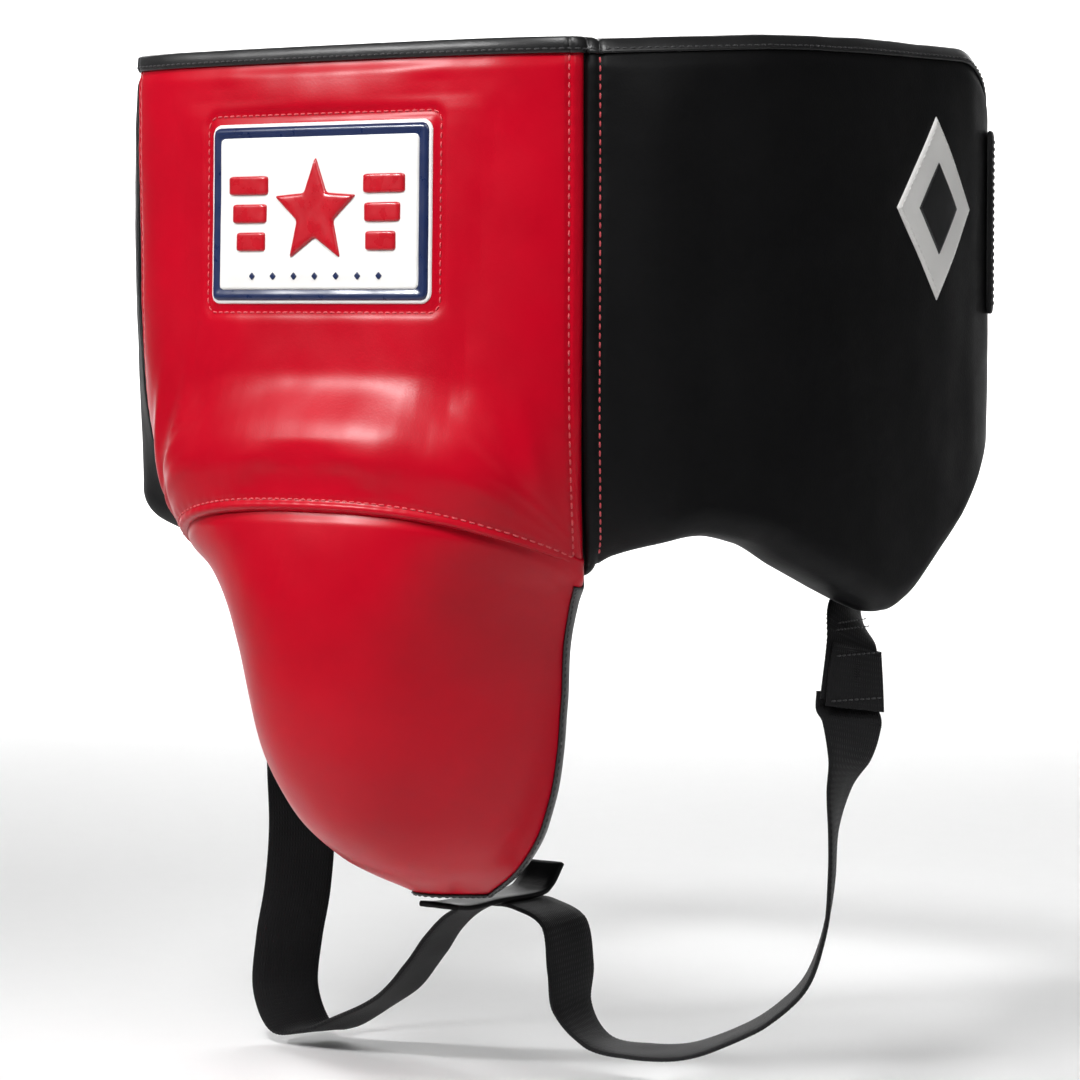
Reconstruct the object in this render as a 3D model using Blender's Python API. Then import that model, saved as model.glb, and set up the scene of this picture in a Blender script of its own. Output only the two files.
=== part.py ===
"""Boxing groin protector: padded abdomen panel with a hard groin cup, two hip pads that wrap
the waist, an elastic hook-and-loop closure at the back, and two elastic leg straps.

Frame: origin at the centre of the waist, +X to the wearer's left, -Y to the front, +Z up.
Units are metres. Every padded panel is a stack of layers on one smooth surface; a layer's
depth is counted inward from the outer leather face.
"""
import math

import bmesh
import bpy
import numpy as np
from mathutils import Matrix, Vector

# ------------------------------------------------------------------ driving dimensions
RIM_Z = 0.0735               # top edge of the padding, under the top binding
GAP = 0.0003                 # clearance between touching pieces
LEATHER = 0.0015             # cover and lining thickness
PANEL_THICKNESS = 0.020      # abdomen panel, face to face
CUP_THICKNESS = 0.014        # padded cup, face to face
TIP_THICKNESS = 0.0075       # the cup thins towards its lower tip
HIP_THICKNESS = 0.021        # hip pads, face to face
EDGE_THICKNESS = 0.0040      # where a hip pad's cover meets its lining
SOFT_FOAM_SHARE = 0.5        # share of the abdomen foam that is the soft body-side layer
SHELL_THICKNESS = 0.0026     # hard cup shell
BINDING = 0.0012             # binding tape thickness
BINDING_DROP = 0.008         # how far the top binding folds over each face

# Outline of the belt seen from above: half of a mirrored curve, front centre to back centre
PLAN = [(0, -0.120), (0.040, -0.1197), (0.080, -0.1175), (0.105, -0.1125), (0.1225, -0.104),
        (0.1385, -0.0845), (0.154, -0.062), (0.1655, -0.036), (0.1718, 0.0), (0.1745, 0.040),
        (0.1744, 0.078), (0.1708, 0.113), (0.1595, 0.139), (0.130, 0.1545), (0.085, 0.1625)]
SEAM_INDEX = 4               # the hip pads start at this plan point

# Abdomen panel and cup: (station, edge x, edge y, edge z, ridge y, ridge z). Station 0 is
# the rim, 1 the arched seam between panel and cup, 2 the cup's lower tip.
FRONT = [(0.00, 0.1225, -0.1040, 0.0735, -0.1200, 0.0735),
         (0.25, 0.1225, -0.1040, 0.0300, -0.1202, 0.0300),
         (0.50, 0.1224, -0.1040, -0.0200, -0.1206, -0.0200),
         (0.70, 0.1208, -0.1022, -0.0680, -0.1232, -0.0600),
         (0.85, 0.1160, -0.0955, -0.1080, -0.1300, -0.0920),
         (1.00, 0.1060, -0.0820, -0.1430, -0.1350, -0.1190),
         (1.12, 0.0915, -0.0680, -0.1580, -0.1378, -0.1400),
         (1.25, 0.0808, -0.0590, -0.1780, -0.1390, -0.1600),
         (1.40, 0.0745, -0.0525, -0.2000, -0.1376, -0.1845),
         (1.58, 0.0686, -0.0485, -0.2285, -0.1318, -0.2160),
         (1.75, 0.0570, -0.0432, -0.2550, -0.1172, -0.2465),
         (1.88, 0.0380, -0.0365, -0.2755, -0.0945, -0.2690),
         (2.00, 0.0130, -0.0280, -0.2905, -0.0550, -0.2880)]
# How square each cross-section is, and how far round it runs before it ends (degrees)
SQUARENESS = [(0.0, 4.0), (0.6, 3.8), (1.0, 2.6), (1.4, 2.3), (2.0, 2.2)]
SECTION_END = [(0.0, 58.0), (0.6, 60.0), (1.0, 74.0), (1.3, 82.0), (2.0, 84.0)]

# Hip pad outline on the unrolled belt: (distance along the belt, height)
HIP_BOTTOM = [(0.1254, -0.1445), (0.140, -0.1350), (0.158, -0.1288), (0.176, -0.1272),
              (0.203, -0.1312), (0.228, -0.1415), (0.260, -0.1540), (0.282, -0.1612),
              (0.292, -0.1635), (0.303, -0.1600), (0.323, -0.1465), (0.347, -0.1300),
              (0.370, -0.1100), (0.400, -0.0800)]
HIP_END_S = 0.398
RIM_RISE = 0.0036            # the belt stands this much higher at the hips
RIM_RISE_LENGTH = 0.110
HIP_TOP_CORNER = 0.058       # how far the rounded upper rear corner reaches along the belt
HIP_TOP_CORNER_DROP = 0.070
TUCK_FADE_S = 0.168          # beyond this the pad hangs straight

# Back closure
STRAP_HEIGHT = 0.080
STRAP_Z = 0.003
ELASTIC = 0.0022
HOOK_THICKNESS = 0.0012
CLOSURE_CENTRE_Y = -0.104    # the closed straps lie on one arc about this point
CLOSURE_RADIUS = 0.2815
PULL_TAB_LENGTH = 0.022

# Leg straps
LEG_WIDTH = 0.032
LEG_THICKNESS = 0.0020
FLAP_THICKNESS = 0.0016

PARTS = bpy.data.collections.new("groin_protector")


# ------------------------------------------------------------------ scene and materials
def clear_scene():
    for obj in list(bpy.data.objects):
        bpy.data.objects.remove(obj)
    bpy.context.scene.collection.children.link(PARTS)


def material(name, colour, roughness, metallic=0.0):
    made = bpy.data.materials.get(name)
    if made:
        return made
    made = bpy.data.materials.new(name)
    made.use_nodes = True
    shader = made.node_tree.nodes["Principled BSDF"]
    shader.inputs["Base Color"].default_value = (*colour, 1.0)
    shader.inputs["Roughness"].default_value = roughness
    shader.inputs["Metallic"].default_value = metallic
    return made


def red_leather():
    return material("red_leather", (0.46, 0.006, 0.014), 0.32)


def black_leather():
    return material("black_leather", (0.012, 0.012, 0.013), 0.38)


def black_lining():
    return material("black_lining", (0.02, 0.02, 0.022), 0.75)


def black_tape():
    return material("black_tape", (0.01, 0.01, 0.011), 0.55)


def elastic_web():
    return material("elastic_web", (0.014, 0.014, 0.015), 0.85)


def foam_grey():
    return material("foam_grey", (0.10, 0.10, 0.11), 0.9)


def cup_shell():
    return material("cup_shell", (0.75, 0.75, 0.73), 0.45)


def hook_tape():
    return material("hook_tape", (0.016, 0.016, 0.017), 0.9)


def navy_vinyl():
    return material("navy_vinyl", (0.012, 0.03, 0.10), 0.3)


def white_vinyl():
    return material("white_vinyl", (0.82, 0.82, 0.80), 0.3)


def red_vinyl():
    return material("red_vinyl", (0.55, 0.01, 0.02), 0.3)


# ------------------------------------------------------------------ smooth tables and curves
def smooth(table, at):
    """Value at `at` on a smooth curve through (key, value) pairs that doesn't overshoot."""
    keys = np.array([row[0] for row in table], float)
    values = np.array([row[1] for row in table], float)
    slopes = np.diff(values) / np.diff(keys)
    ends = np.concatenate([[slopes[0]], np.zeros(len(keys) - 2), [slopes[-1]]])
    for i in range(1, len(keys) - 1):
        before, after = slopes[i - 1], slopes[i]
        if before * after > 0:
            ends[i] = 2 * before * after / (before + after)
    i = int(np.clip(np.searchsorted(keys, at) - 1, 0, len(keys) - 2))
    width = keys[i + 1] - keys[i]
    t = (at - keys[i]) / width
    return ((2 * t**3 - 3 * t**2 + 1) * values[i] + (t**3 - 2 * t**2 + t) * width * ends[i]
            + (3 * t**2 - 2 * t**3) * values[i + 1] + (t**3 - t**2) * width * ends[i + 1])


def spline(points, steps):
    """Points along a smooth curve through `points`, `steps` to each span."""
    p = [np.array(point, float) for point in points]
    p = [2 * p[0] - p[1]] + p + [2 * p[-1] - p[-2]]
    out = []
    for i in range(1, len(p) - 2):
        for k in range(steps):
            t = k / steps
            out.append(0.5 * (2 * p[i] + (p[i + 1] - p[i - 1]) * t
                              + (2 * p[i - 1] - 5 * p[i] + 4 * p[i + 1] - p[i + 2]) * t**2
                              + (3 * p[i] - p[i - 1] - 3 * p[i + 1] + p[i + 2]) * t**3))
    return np.array(out + [p[-2]])


def path_length(points):
    return np.concatenate([[0.0], np.cumsum(np.linalg.norm(np.diff(points, axis=0), axis=1))])


PLAN_CURVE = spline([(-PLAN[1][0], PLAN[1][1])] + PLAN, 24)[24:]
PLAN_S = path_length(PLAN_CURVE)
SEAM_S = PLAN_S[SEAM_INDEX * 24]


def plan_xy(s):
    return np.array([np.interp(s, PLAN_S, PLAN_CURVE[:, 0]), np.interp(s, PLAN_S, PLAN_CURVE[:, 1])])


def plan_inward(s):
    """Unit vector in plan, pointing from the belt's outer face to the body."""
    along = plan_xy(s + 0.002) - plan_xy(s - 0.002)
    along /= np.linalg.norm(along)
    return np.array([-along[1], along[0]])


# ------------------------------------------------------------------ the two padded surfaces
def front_loft(u, station):
    """Outer face of the abdomen panel and cup; u runs -1 to 1 across, station 0 to 2 down."""
    row = [smooth([(f[0], f[k]) for f in FRONT], station) for k in range(1, 6)]
    edge_x, edge_y, edge_z, ridge_y, ridge_z = row
    n = smooth(SQUARENESS, station)
    end = math.radians(smooth(SECTION_END, station))
    angle = abs(u) * end
    across = (math.sin(angle) / math.sin(end)) ** (2 / n)
    last = math.cos(end) ** (2 / n)
    forward = (math.cos(angle) ** (2 / n) - last) / (1 - last)
    return np.array([math.copysign(edge_x * across, u),
                     edge_y + (ridge_y - edge_y) * forward,
                     edge_z + (ridge_z - edge_z) * forward])


RIDGE_U = 0.05               # inside this the depth direction has no sideways part at u = 0
SLOPE_STEP = 0.01


def front_inward(u, station):
    side = math.copysign(1.0, u) if abs(u) > 1e-6 else 1.0
    u_in = side * max(abs(u), RIDGE_U)
    step = SLOPE_STEP
    across = front_loft(side * min(abs(u_in) + step, 1.0), station)
    across = across - front_loft(side * (abs(u_in) - step), station)
    down = front_loft(u_in, min(station + step, 2.0)) - front_loft(u_in, max(station - step, 0.0))
    inward = np.cross(across, down) * side
    inward /= np.linalg.norm(inward)
    if abs(u) <= RIDGE_U:
        inward[0] *= abs(u) / RIDGE_U
        inward /= np.linalg.norm(inward)
    return inward


def front_place(u, station, depth):
    return front_loft(u, station) + front_inward(u, station) * depth


def hip_top(s):
    rise = min(max((s - SEAM_S) / RIM_RISE_LENGTH, 0.0), 1.0)
    t = min(max((s - HIP_END_S + HIP_TOP_CORNER) / HIP_TOP_CORNER, 0.0), 1.0)
    corner = HIP_TOP_CORNER_DROP * (1 - math.sqrt(max(1 - t * t, 0.0)))
    return RIM_Z + RIM_RISE * rise * rise * (3 - 2 * rise) - corner


def hip_bottom(s):
    return smooth(HIP_BOTTOM, s)


def hip_tuck(s, z):
    """The belt's lower front corner is drawn in towards the cup."""
    if z > 0.0:
        return np.zeros(2)
    station = [row for row in FRONT if row[0] <= 1.0]
    heights = [(row[3], row[1], row[2]) for row in reversed(station)]
    x = smooth([(h[0], h[1]) for h in heights], max(z, heights[0][0]))
    y = smooth([(h[0], h[2]) for h in heights], max(z, heights[0][0]))
    t = np.clip((s - SEAM_S) / (TUCK_FADE_S - SEAM_S), 0.0, 1.0)
    fade = 1 - t * t * (3 - 2 * t)
    return np.array([x - FRONT[0][1], y - FRONT[0][2]]) * fade


def hip_place(side, s, z, depth):
    x, y = plan_xy(s) + hip_tuck(s, z) + plan_inward(s) * depth
    return np.array([side * x, y, z])


# ------------------------------------------------------------------ mesh helpers
def make_object(name, mesh_builder, finish):
    bm = bmesh.new()
    mesh_builder(bm)
    bmesh.ops.recalc_face_normals(bm, faces=bm.faces)
    mesh = bpy.data.meshes.new(name)
    bm.to_mesh(mesh)
    bm.free()
    mesh.materials.append(finish)
    obj = bpy.data.objects.new(name, mesh)
    PARTS.objects.link(obj)
    return obj


def closed_loft(name, sections, finish):
    """A solid through rings of points that all hold the same number of points."""
    def build(bm):
        rings = [[bm.verts.new(point) for point in ring] for ring in sections]
        count = len(rings[0])
        for a, b in zip(rings, rings[1:]):
            for k in range(count):
                j = (k + 1) % count
                bm.faces.new((a[k], a[j], b[j]))
                bm.faces.new((a[k], b[j], b[k]))
        bm.faces.new(list(reversed(rings[0])))
        bm.faces.new(rings[-1])
    return make_object(name, build, finish)


def layer(name, place, columns, rows, near, far, finish):
    """A padded layer between depths near(u, v) and far(u, v) on the surface place(u, v, d)."""
    def build(bm):
        faces = []
        for depth in (near, far):
            faces.append([[bm.verts.new(place(u, v, depth(u, v))) for v in rows(u)]
                          for u in columns])
        outer, inner = faces
        last_i, last_j = len(outer) - 1, len(outer[0]) - 1
        def panel(a, b, c, d):
            bm.faces.new((a, b, c))
            bm.faces.new((a, c, d))

        for i in range(last_i):
            for j in range(last_j):
                for grid in (outer, inner):
                    panel(grid[i][j], grid[i + 1][j], grid[i + 1][j + 1], grid[i][j + 1])
        for i in range(last_i):
            for j in (0, last_j):
                panel(outer[i][j], outer[i + 1][j], inner[i + 1][j], inner[i][j])
        for j in range(last_j):
            for i in (0, last_i):
                panel(outer[i][j], outer[i][j + 1], inner[i][j + 1], inner[i][j])
    return make_object(name, build, finish)


def ribbon(name, centres, widths, width, thickness, finish, offset=0.0):
    """A flat band along `centres`; `widths` gives its width direction at each centre."""
    sections = []
    for i, centre in enumerate(centres):
        ahead = centres[min(i + 1, len(centres) - 1)] - centres[max(i - 1, 0)]
        ahead /= np.linalg.norm(ahead)
        wide = widths[i] - ahead * np.dot(widths[i], ahead)
        wide /= np.linalg.norm(wide)
        thick = np.cross(ahead, wide)
        middle = centre + thick * offset
        w, t = wide * width / 2, thick * thickness / 2
        sections.append([middle - w - t, middle + w - t, middle + w + t, middle - w + t])
    return closed_loft(name, sections, finish)


def constant(value):
    return lambda u, v: value


def fixed_rows(rows):
    return lambda u: rows


# ------------------------------------------------------------------ abdomen panel and cup
PANEL_COLUMNS = [-1, -0.93, -0.8, -0.62, -0.42, -0.2, 0, 0.2, 0.42, 0.62, 0.8, 0.93, 1]
PANEL_ROWS = [0.0, 0.048, 0.2, 0.35, 0.5, 0.62, 0.72, 0.82, 0.91, 0.97, 0.996]
CUP_COLUMNS = [-1, -0.95, -0.86, -0.7, -0.52, -0.34, -0.16, 0,
               0.16, 0.34, 0.52, 0.7, 0.86, 0.95, 1]
CUP_ROWS = [1.004, 1.03, 1.075, 1.15, 1.26, 1.38, 1.5, 1.62, 1.74, 1.84, 1.92, 1.97, 2.0]
# How far through the cup's thickness its cover, its foam and its cushion end
CUP_COVER_SHARE = 0.10
CUP_FOAM_SHARE = 0.38
CUP_LINING_SHARE = 0.90
TAPE_END = 0.998             # the front tape stops this far out to each side seam


def front_thickness(u, station):
    if station <= 1.0:
        body = smooth([(0.0, PANEL_THICKNESS), (0.6, PANEL_THICKNESS), (1.0, CUP_THICKNESS)], station)
    else:
        body = smooth([(1.0, CUP_THICKNESS), (1.7, CUP_THICKNESS), (2.0, TIP_THICKNESS)], station)
    return body


def front_layers():
    skin = constant(LEATHER)
    near_foam = constant(LEATHER + GAP)
    back = front_thickness

    def lining_face(u, v):
        return back(u, v) - LEATHER

    def foam_back(u, v):
        return back(u, v) - LEATHER - GAP

    def split(u, v):
        start = LEATHER + GAP
        return start + (foam_back(u, v) - start) * (1 - SOFT_FOAM_SHARE)

    def split_soft(u, v):
        return split(u, v) + GAP

    whole = fixed_rows(PANEL_ROWS)
    inner = fixed_rows(PANEL_ROWS[1:-1])
    layer("front_cover", front_place, PANEL_COLUMNS, whole, constant(0), skin, red_leather())
    layer("front_foam_firm", front_place, PANEL_COLUMNS[1:-1], inner, near_foam, split, foam_grey())
    layer("front_foam_soft", front_place, PANEL_COLUMNS[1:-1], inner, split_soft, foam_back,
          foam_grey())
    layer("front_lining", front_place, PANEL_COLUMNS, whole, lining_face, back, black_lining())


def cup_layers():
    back = front_thickness

    def share(part):
        """Depth at a share of the cup's thickness."""
        return lambda u, v: back(u, v) * part

    def behind(depth, gap=GAP):
        return lambda u, v: depth(u, v) + gap

    skin = share(CUP_COVER_SHARE)
    foam_back = share(CUP_FOAM_SHARE)
    shell_front = behind(foam_back)
    shell_back = lambda u, v: shell_front(u, v) + SHELL_THICKNESS * back(u, v) / CUP_THICKNESS
    lining_front = share(CUP_LINING_SHARE)
    whole = fixed_rows(CUP_ROWS)
    foam_rows = fixed_rows(CUP_ROWS[1:-2])
    shell_rows = fixed_rows(CUP_ROWS[3:-3])
    columns = CUP_COLUMNS[1:-1]
    layer("cup_cover", front_place, CUP_COLUMNS, whole, constant(0), skin, red_leather())
    layer("cup_foam", front_place, columns, foam_rows, behind(skin), foam_back, foam_grey())
    layer("groin_cup", front_place, columns, shell_rows, shell_front, shell_back, cup_shell())
    layer("cup_cushion", front_place, columns, foam_rows, behind(shell_back),
          behind(lining_front, -GAP), foam_grey())
    layer("cup_lining", front_place, CUP_COLUMNS, whole, lining_front, back, black_lining())


def folded_tape(place, edge, drop, near, far, over=None, gap=GAP):
    """One cross-section of a tape folded over an edge: a ring of eight points.

    edge and drop are the surface coordinates of the padding's edge and of the tape's hem.
    over is the direction in which the tape stands off the edge.
    """
    def corner(depth_of, sign, lift):
        on_edge = place(*edge, depth_of(*edge) + sign * lift)
        if over is None:
            away = place(*edge, depth_of(*edge)) - place(*drop, depth_of(*drop))
            away /= np.linalg.norm(away)
        else:
            away = over
        return on_edge + away * lift

    def hem(depth_of, sign, lift):
        return place(*drop, depth_of(*drop) + sign * lift)

    thick = gap + BINDING
    return [hem(near, -1, thick), corner(near, -1, thick), corner(far, 1, thick),
            hem(far, 1, thick), hem(far, 1, gap), corner(far, 1, gap),
            corner(near, -1, gap), hem(near, -1, gap)]


UP = np.array([0.0, 0.0, 1.0])


def front_top_binding():
    sections = []
    for u in PANEL_COLUMNS:
        edge = u * TAPE_END
        sections.append(folded_tape(front_place, (edge, 0.0), (edge, PANEL_ROWS[1]),
                                    constant(0), front_thickness, UP))
    closed_loft("top_binding_front", sections, black_tape())


def cup_edge_binding():
    """One tape round the cup's open edge, from one side seam down round the tip and up."""
    hem_u, hem_v = CUP_COLUMNS[-2], CUP_ROWS[-2]
    left_side = [((-1, v), (-hem_u, v)) for v in CUP_ROWS[2:-1]]
    right_side = [((1, v), (hem_u, v)) for v in reversed(CUP_ROWS[2:-1])]
    tip = [((u, 2.0), (u, hem_v)) for u in CUP_COLUMNS[1:-1]]
    corners = [((-1, 2.0), (-hem_u, hem_v)), ((1, 2.0), (hem_u, hem_v))]
    route = left_side + corners[:1] + tip + corners[1:] + right_side
    sections = [folded_tape(front_place, edge, drop, constant(0), front_thickness, gap=2 * GAP)
                for edge, drop in route]
    closed_loft("cup_binding", sections, black_tape())


# ------------------------------------------------------------------ badge on the abdomen
BADGE_CENTRE = (-0.002, 0.0052)     # x, z
BADGE_SIZE = (0.118, 0.073)
BADGE_BORDER = 0.0055
BADGE_LAYER = 0.0008
EMBLEM_THICKNESS = 0.0016
STAR_RADIUS = 0.023
STAR_WAIST = 0.42            # the inner corners' share of the star's radius
BAR_OFFSET = 0.036
BAR_SIZE = (0.020, 0.034)


def badge_place(x, z, depth):
    """Point on the abdomen's outer face at width x and height z; depth is inward."""
    station = np.interp(-z, [-0.0735, -0.0300, 0.0200], [0.0, 0.25, 0.50])
    low, high = -1.0, 1.0
    for _ in range(40):
        middle = (low + high) / 2
        if front_loft(middle, station)[0] < x:
            low = middle
        else:
            high = middle
    y = front_loft((low + high) / 2, station)[1]
    return np.array([x, y + depth, z])


def badge_plate(name, centre, size, near, far, finish, columns=9, rows=3):
    xs = np.linspace(centre[0] - size[0] / 2, centre[0] + size[0] / 2, columns)
    zs = np.linspace(centre[1] - size[1] / 2, centre[1] + size[1] / 2, rows)
    layer(name, badge_place, list(xs), fixed_rows(list(zs)), constant(-near), constant(-far),
          finish)


def badge():
    base = 2 * GAP
    first = base + BADGE_LAYER
    second = first + GAP + BADGE_LAYER
    badge_plate("badge_backing", BADGE_CENTRE, BADGE_SIZE, first, base, navy_vinyl())
    field = (BADGE_SIZE[0] - 2 * BADGE_BORDER, BADGE_SIZE[1] - 2 * BADGE_BORDER)
    badge_plate("badge_field", BADGE_CENTRE, field, second, first + GAP, white_vinyl())
    star_near = second + GAP
    star(star_near)
    bar_near = star_near + EMBLEM_THICKNESS
    for hand, side in (("right", -1), ("left", 1)):
        centre = (BADGE_CENTRE[0] + side * BAR_OFFSET, BADGE_CENTRE[1])
        badge_plate("badge_bar_" + hand, centre, BAR_SIZE, bar_near, star_near, red_vinyl(), 3, 2)


def star(near, points=5):
    ring = []
    for k in range(2 * points):
        reach = STAR_RADIUS if k % 2 == 0 else STAR_RADIUS * STAR_WAIST
        angle = math.pi / 2 + k * math.pi / points
        ring.append((BADGE_CENTRE[0] + reach * math.cos(angle),
                     BADGE_CENTRE[1] + reach * math.sin(angle)))
    back = [badge_place(x, z, -near) for x, z in ring]
    front = [badge_place(x, z, -near - EMBLEM_THICKNESS) for x, z in ring]
    closed_loft("badge_star", [back, front], red_vinyl())


# ------------------------------------------------------------------ hip pads
HIP_COLUMNS = [0, 0.016, 0.07, 0.145, 0.23, 0.33, 0.43, 0.53, 0.62, 0.70, 0.78, 0.86,
               0.925, 0.965, 0.99, 1]
HIP_ROWS = [0, 0.02, 0.075, 0.19, 0.36, 0.56, 0.76, 0.90]


# Round edges of a hip pad: (how far in from the outline, share of the thickness left there)
SEAM_ROLL = (0.022, 0.80)
TOP_ROLL = (0.020, 0.70)
BOTTOM_ROLL = (0.016, 0.20)
REAR_ROLL = (0.014, 0.20)


def roll(distance, radius, start):
    t = 1 - min(max(distance / radius, 0.0), 1.0)
    return start + (1 - start) * math.sqrt(1 - t * t)


def hip_front_depth(s, z):
    """Depth of the cover's outer face: the pad thins in a round edge towards its outline."""
    fullness = (roll(s - SEAM_S, *SEAM_ROLL) * roll(hip_top(s) - z, *TOP_ROLL)
                * roll(z - hip_bottom(s), *BOTTOM_ROLL) * roll(HIP_END_S - s, *REAR_ROLL))
    return HIP_THICKNESS - max(HIP_THICKNESS * fullness, EDGE_THICKNESS)


def hip_s(column):
    start = SEAM_S + 2 * GAP
    return start + (HIP_END_S - start) * column


def hip_heights(s):
    low, high = hip_bottom(s), hip_top(s)
    rows = [low + (high - BINDING_DROP - low) * row / HIP_ROWS[-1] for row in HIP_ROWS]
    return rows + [high]


def hip_layers(side, hand):
    def place(s, z, depth):
        return hip_place(side, s, z, depth)

    columns = [hip_s(column) for column in HIP_COLUMNS]

    def cover_back(s, z):
        return hip_front_depth(s, z) + LEATHER

    def foam_front(s, z):
        return cover_back(s, z) + GAP

    def inner_rows(s):
        return hip_heights(s)[1:-1]

    foam_back = constant(HIP_THICKNESS - LEATHER - GAP)
    lining_front = constant(HIP_THICKNESS - LEATHER)
    layer("hip_cover_" + hand, place, columns, hip_heights, hip_front_depth, cover_back,
          black_leather())
    layer("hip_foam_" + hand, place, columns[1:-2], inner_rows, foam_front, foam_back, foam_grey())
    layer("hip_lining_" + hand, place, columns, hip_heights, lining_front,
          constant(HIP_THICKNESS), black_lining())

    sections = []
    for s in columns[:-3]:
        heights = hip_heights(s)
        sections.append(folded_tape(place, (s, heights[-1]), (s, heights[-2]),
                                    hip_front_depth, constant(HIP_THICKNESS), UP))
    closed_loft("top_binding_" + hand, sections, black_tape())


PATCH_CENTRE = (0.316, 0.008)
PATCH_HALF = (0.031, 0.039)
PATCH_THICKNESS = 0.0008
INLAY_SHARE = 0.5


def lozenge(name, side, half, near, finish, cells=4):
    """A diamond-shaped patch on the hip pad's outer face."""
    grid = list(np.linspace(-1, 1, cells + 1))

    def place(p, q, depth):
        s = PATCH_CENTRE[0] + (p - q) / 2 * half[0]
        z = PATCH_CENTRE[1] + (p + q) / 2 * half[1]
        return hip_place(side, s, z, hip_front_depth(s, z) + depth)

    layer(name, place, grid, fixed_rows(grid), constant(-near - PATCH_THICKNESS), constant(-near),
          finish)


def hip_patches(side, hand):
    lozenge("hip_patch_" + hand, side, PATCH_HALF, 2 * GAP, white_vinyl())
    inner = (PATCH_HALF[0] * INLAY_SHARE, PATCH_HALF[1] * INLAY_SHARE)
    lozenge("hip_patch_inlay_" + hand, side, inner, 3 * GAP + PATCH_THICKNESS, black_leather())


# ------------------------------------------------------------------ back closure
ARC_START = 0.19            # angle from the back centre where the closed straps meet the arc
ARC_END = -0.20
ARC_STEPS = 7
STRAP_SEWN_S = (0.370, 0.382)   # where along the belt a strap's sewn end lies
STRAP_STANDOFF = 0.0006
HOOK_MARGIN = 0.008          # the strap's height less the hook field's
TAB_HEIGHT_SHARE = 0.7


def closure_arc(angle, radius):
    return (radius * math.sin(angle), CLOSURE_CENTRE_Y + radius * math.cos(angle))


def closure_angles():
    return np.linspace(ARC_START, ARC_END, ARC_STEPS)


def back_strap_path(inset):
    """Centre line in plan, +X side, from the hip pad's rear edge past the back centre."""
    start = [plan_xy(s) - plan_inward(s) * (STRAP_STANDOFF + ELASTIC / 2) for s in STRAP_SEWN_S]
    bend = [(0.1520, 0.1480), (0.1370, 0.1556), (0.1130, 0.1622 - inset * 0.3),
            (0.0830, 0.1672 - inset)]
    arc = [closure_arc(angle, CLOSURE_RADIUS - inset) for angle in closure_angles()]
    lead = spline([tuple(p) for p in start] + bend + arc[:2], 2)
    return np.vstack([lead[:-1], arc[1:]])


def upright_band(name, path, side, height, thickness, finish):
    centres = [np.array([side * x, y, STRAP_Z]) for x, y in path]
    up = [np.array([0.0, 0.0, 1.0])] * len(centres)
    ribbon(name, centres, up, height, thickness, finish)


def back_closure():
    step = ELASTIC + 3 * GAP + 2 * HOOK_THICKNESS
    upright_band("back_strap_left", back_strap_path(0.0), 1, STRAP_HEIGHT, ELASTIC, elastic_web())
    upright_band("back_strap_right", back_strap_path(step), -1, STRAP_HEIGHT, ELASTIC,
                 elastic_web())
    offset = ELASTIC / 2 + GAP + HOOK_THICKNESS / 2
    patch_height = STRAP_HEIGHT - HOOK_MARGIN
    hook = [closure_arc(angle, CLOSURE_RADIUS - offset) for angle in closure_angles()[1:]]
    upright_band("hook_patch", hook, 1, patch_height, HOOK_THICKNESS, hook_tape())
    loop = [closure_arc(angle, CLOSURE_RADIUS - step + offset) for angle in closure_angles()[1:]]
    upright_band("loop_patch", loop, -1, patch_height, HOOK_THICKNESS, hook_tape())
    tab_start = ARC_END - 2 * GAP / CLOSURE_RADIUS
    tab_angles = np.linspace(tab_start, tab_start - PULL_TAB_LENGTH / CLOSURE_RADIUS, 3)
    tab = [closure_arc(angle, CLOSURE_RADIUS) for angle in tab_angles]
    upright_band("pull_tab", tab, 1, STRAP_HEIGHT * TAB_HEIGHT_SHARE, ELASTIC, black_leather())


# ------------------------------------------------------------------ crotch tab and leg straps
# The leather tab runs back from the cup's tip over the straps, then turns up
TAB = [(0.0, -0.0480, -0.2927), (0.0, -0.0350, -0.2940), (0.0, -0.0150, -0.2934),
       (0.0, 0.0110, -0.2932), (0.0, 0.0200, -0.2900), (0.0, 0.0275, -0.2815)]
TAB_WIDTH = 0.021
TAB_THICKNESS = 0.0026
# Centre line of each leg strap and its width direction, in degrees from +X
LEG_LEFT = [((0.0010, 0.003, -0.2960), 90), ((0.0130, 0.003, -0.2968), 90),
            ((0.0285, 0.004, -0.3035), 90), ((0.0312, 0.006, -0.3235), 90),
            ((0.0308, 0.008, -0.3415), 97), ((0.0420, 0.011, -0.3555), 108),
            ((0.0640, 0.013, -0.3578), 116), ((0.0870, 0.015, -0.3555), 120),
            ((0.1100, 0.017, -0.3470), 122), ((0.1310, 0.019, -0.3350), 124),
            ((0.1460, 0.021, -0.3200), 125), ((0.1535, 0.023, -0.3000), 123),
            ((0.1560, 0.025, -0.2780), 121), ((0.1563, 0.026, -0.2560), 119),
            ((0.1575, 0.028, -0.2390), 107), ((0.1608, 0.0302, -0.2250), 91),
            ((0.1600, 0.0335, -0.2110), 77), ((0.1558, 0.0364, -0.2035), 71),
            ((0.1553, 0.0368, -0.1965), 72)]
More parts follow.
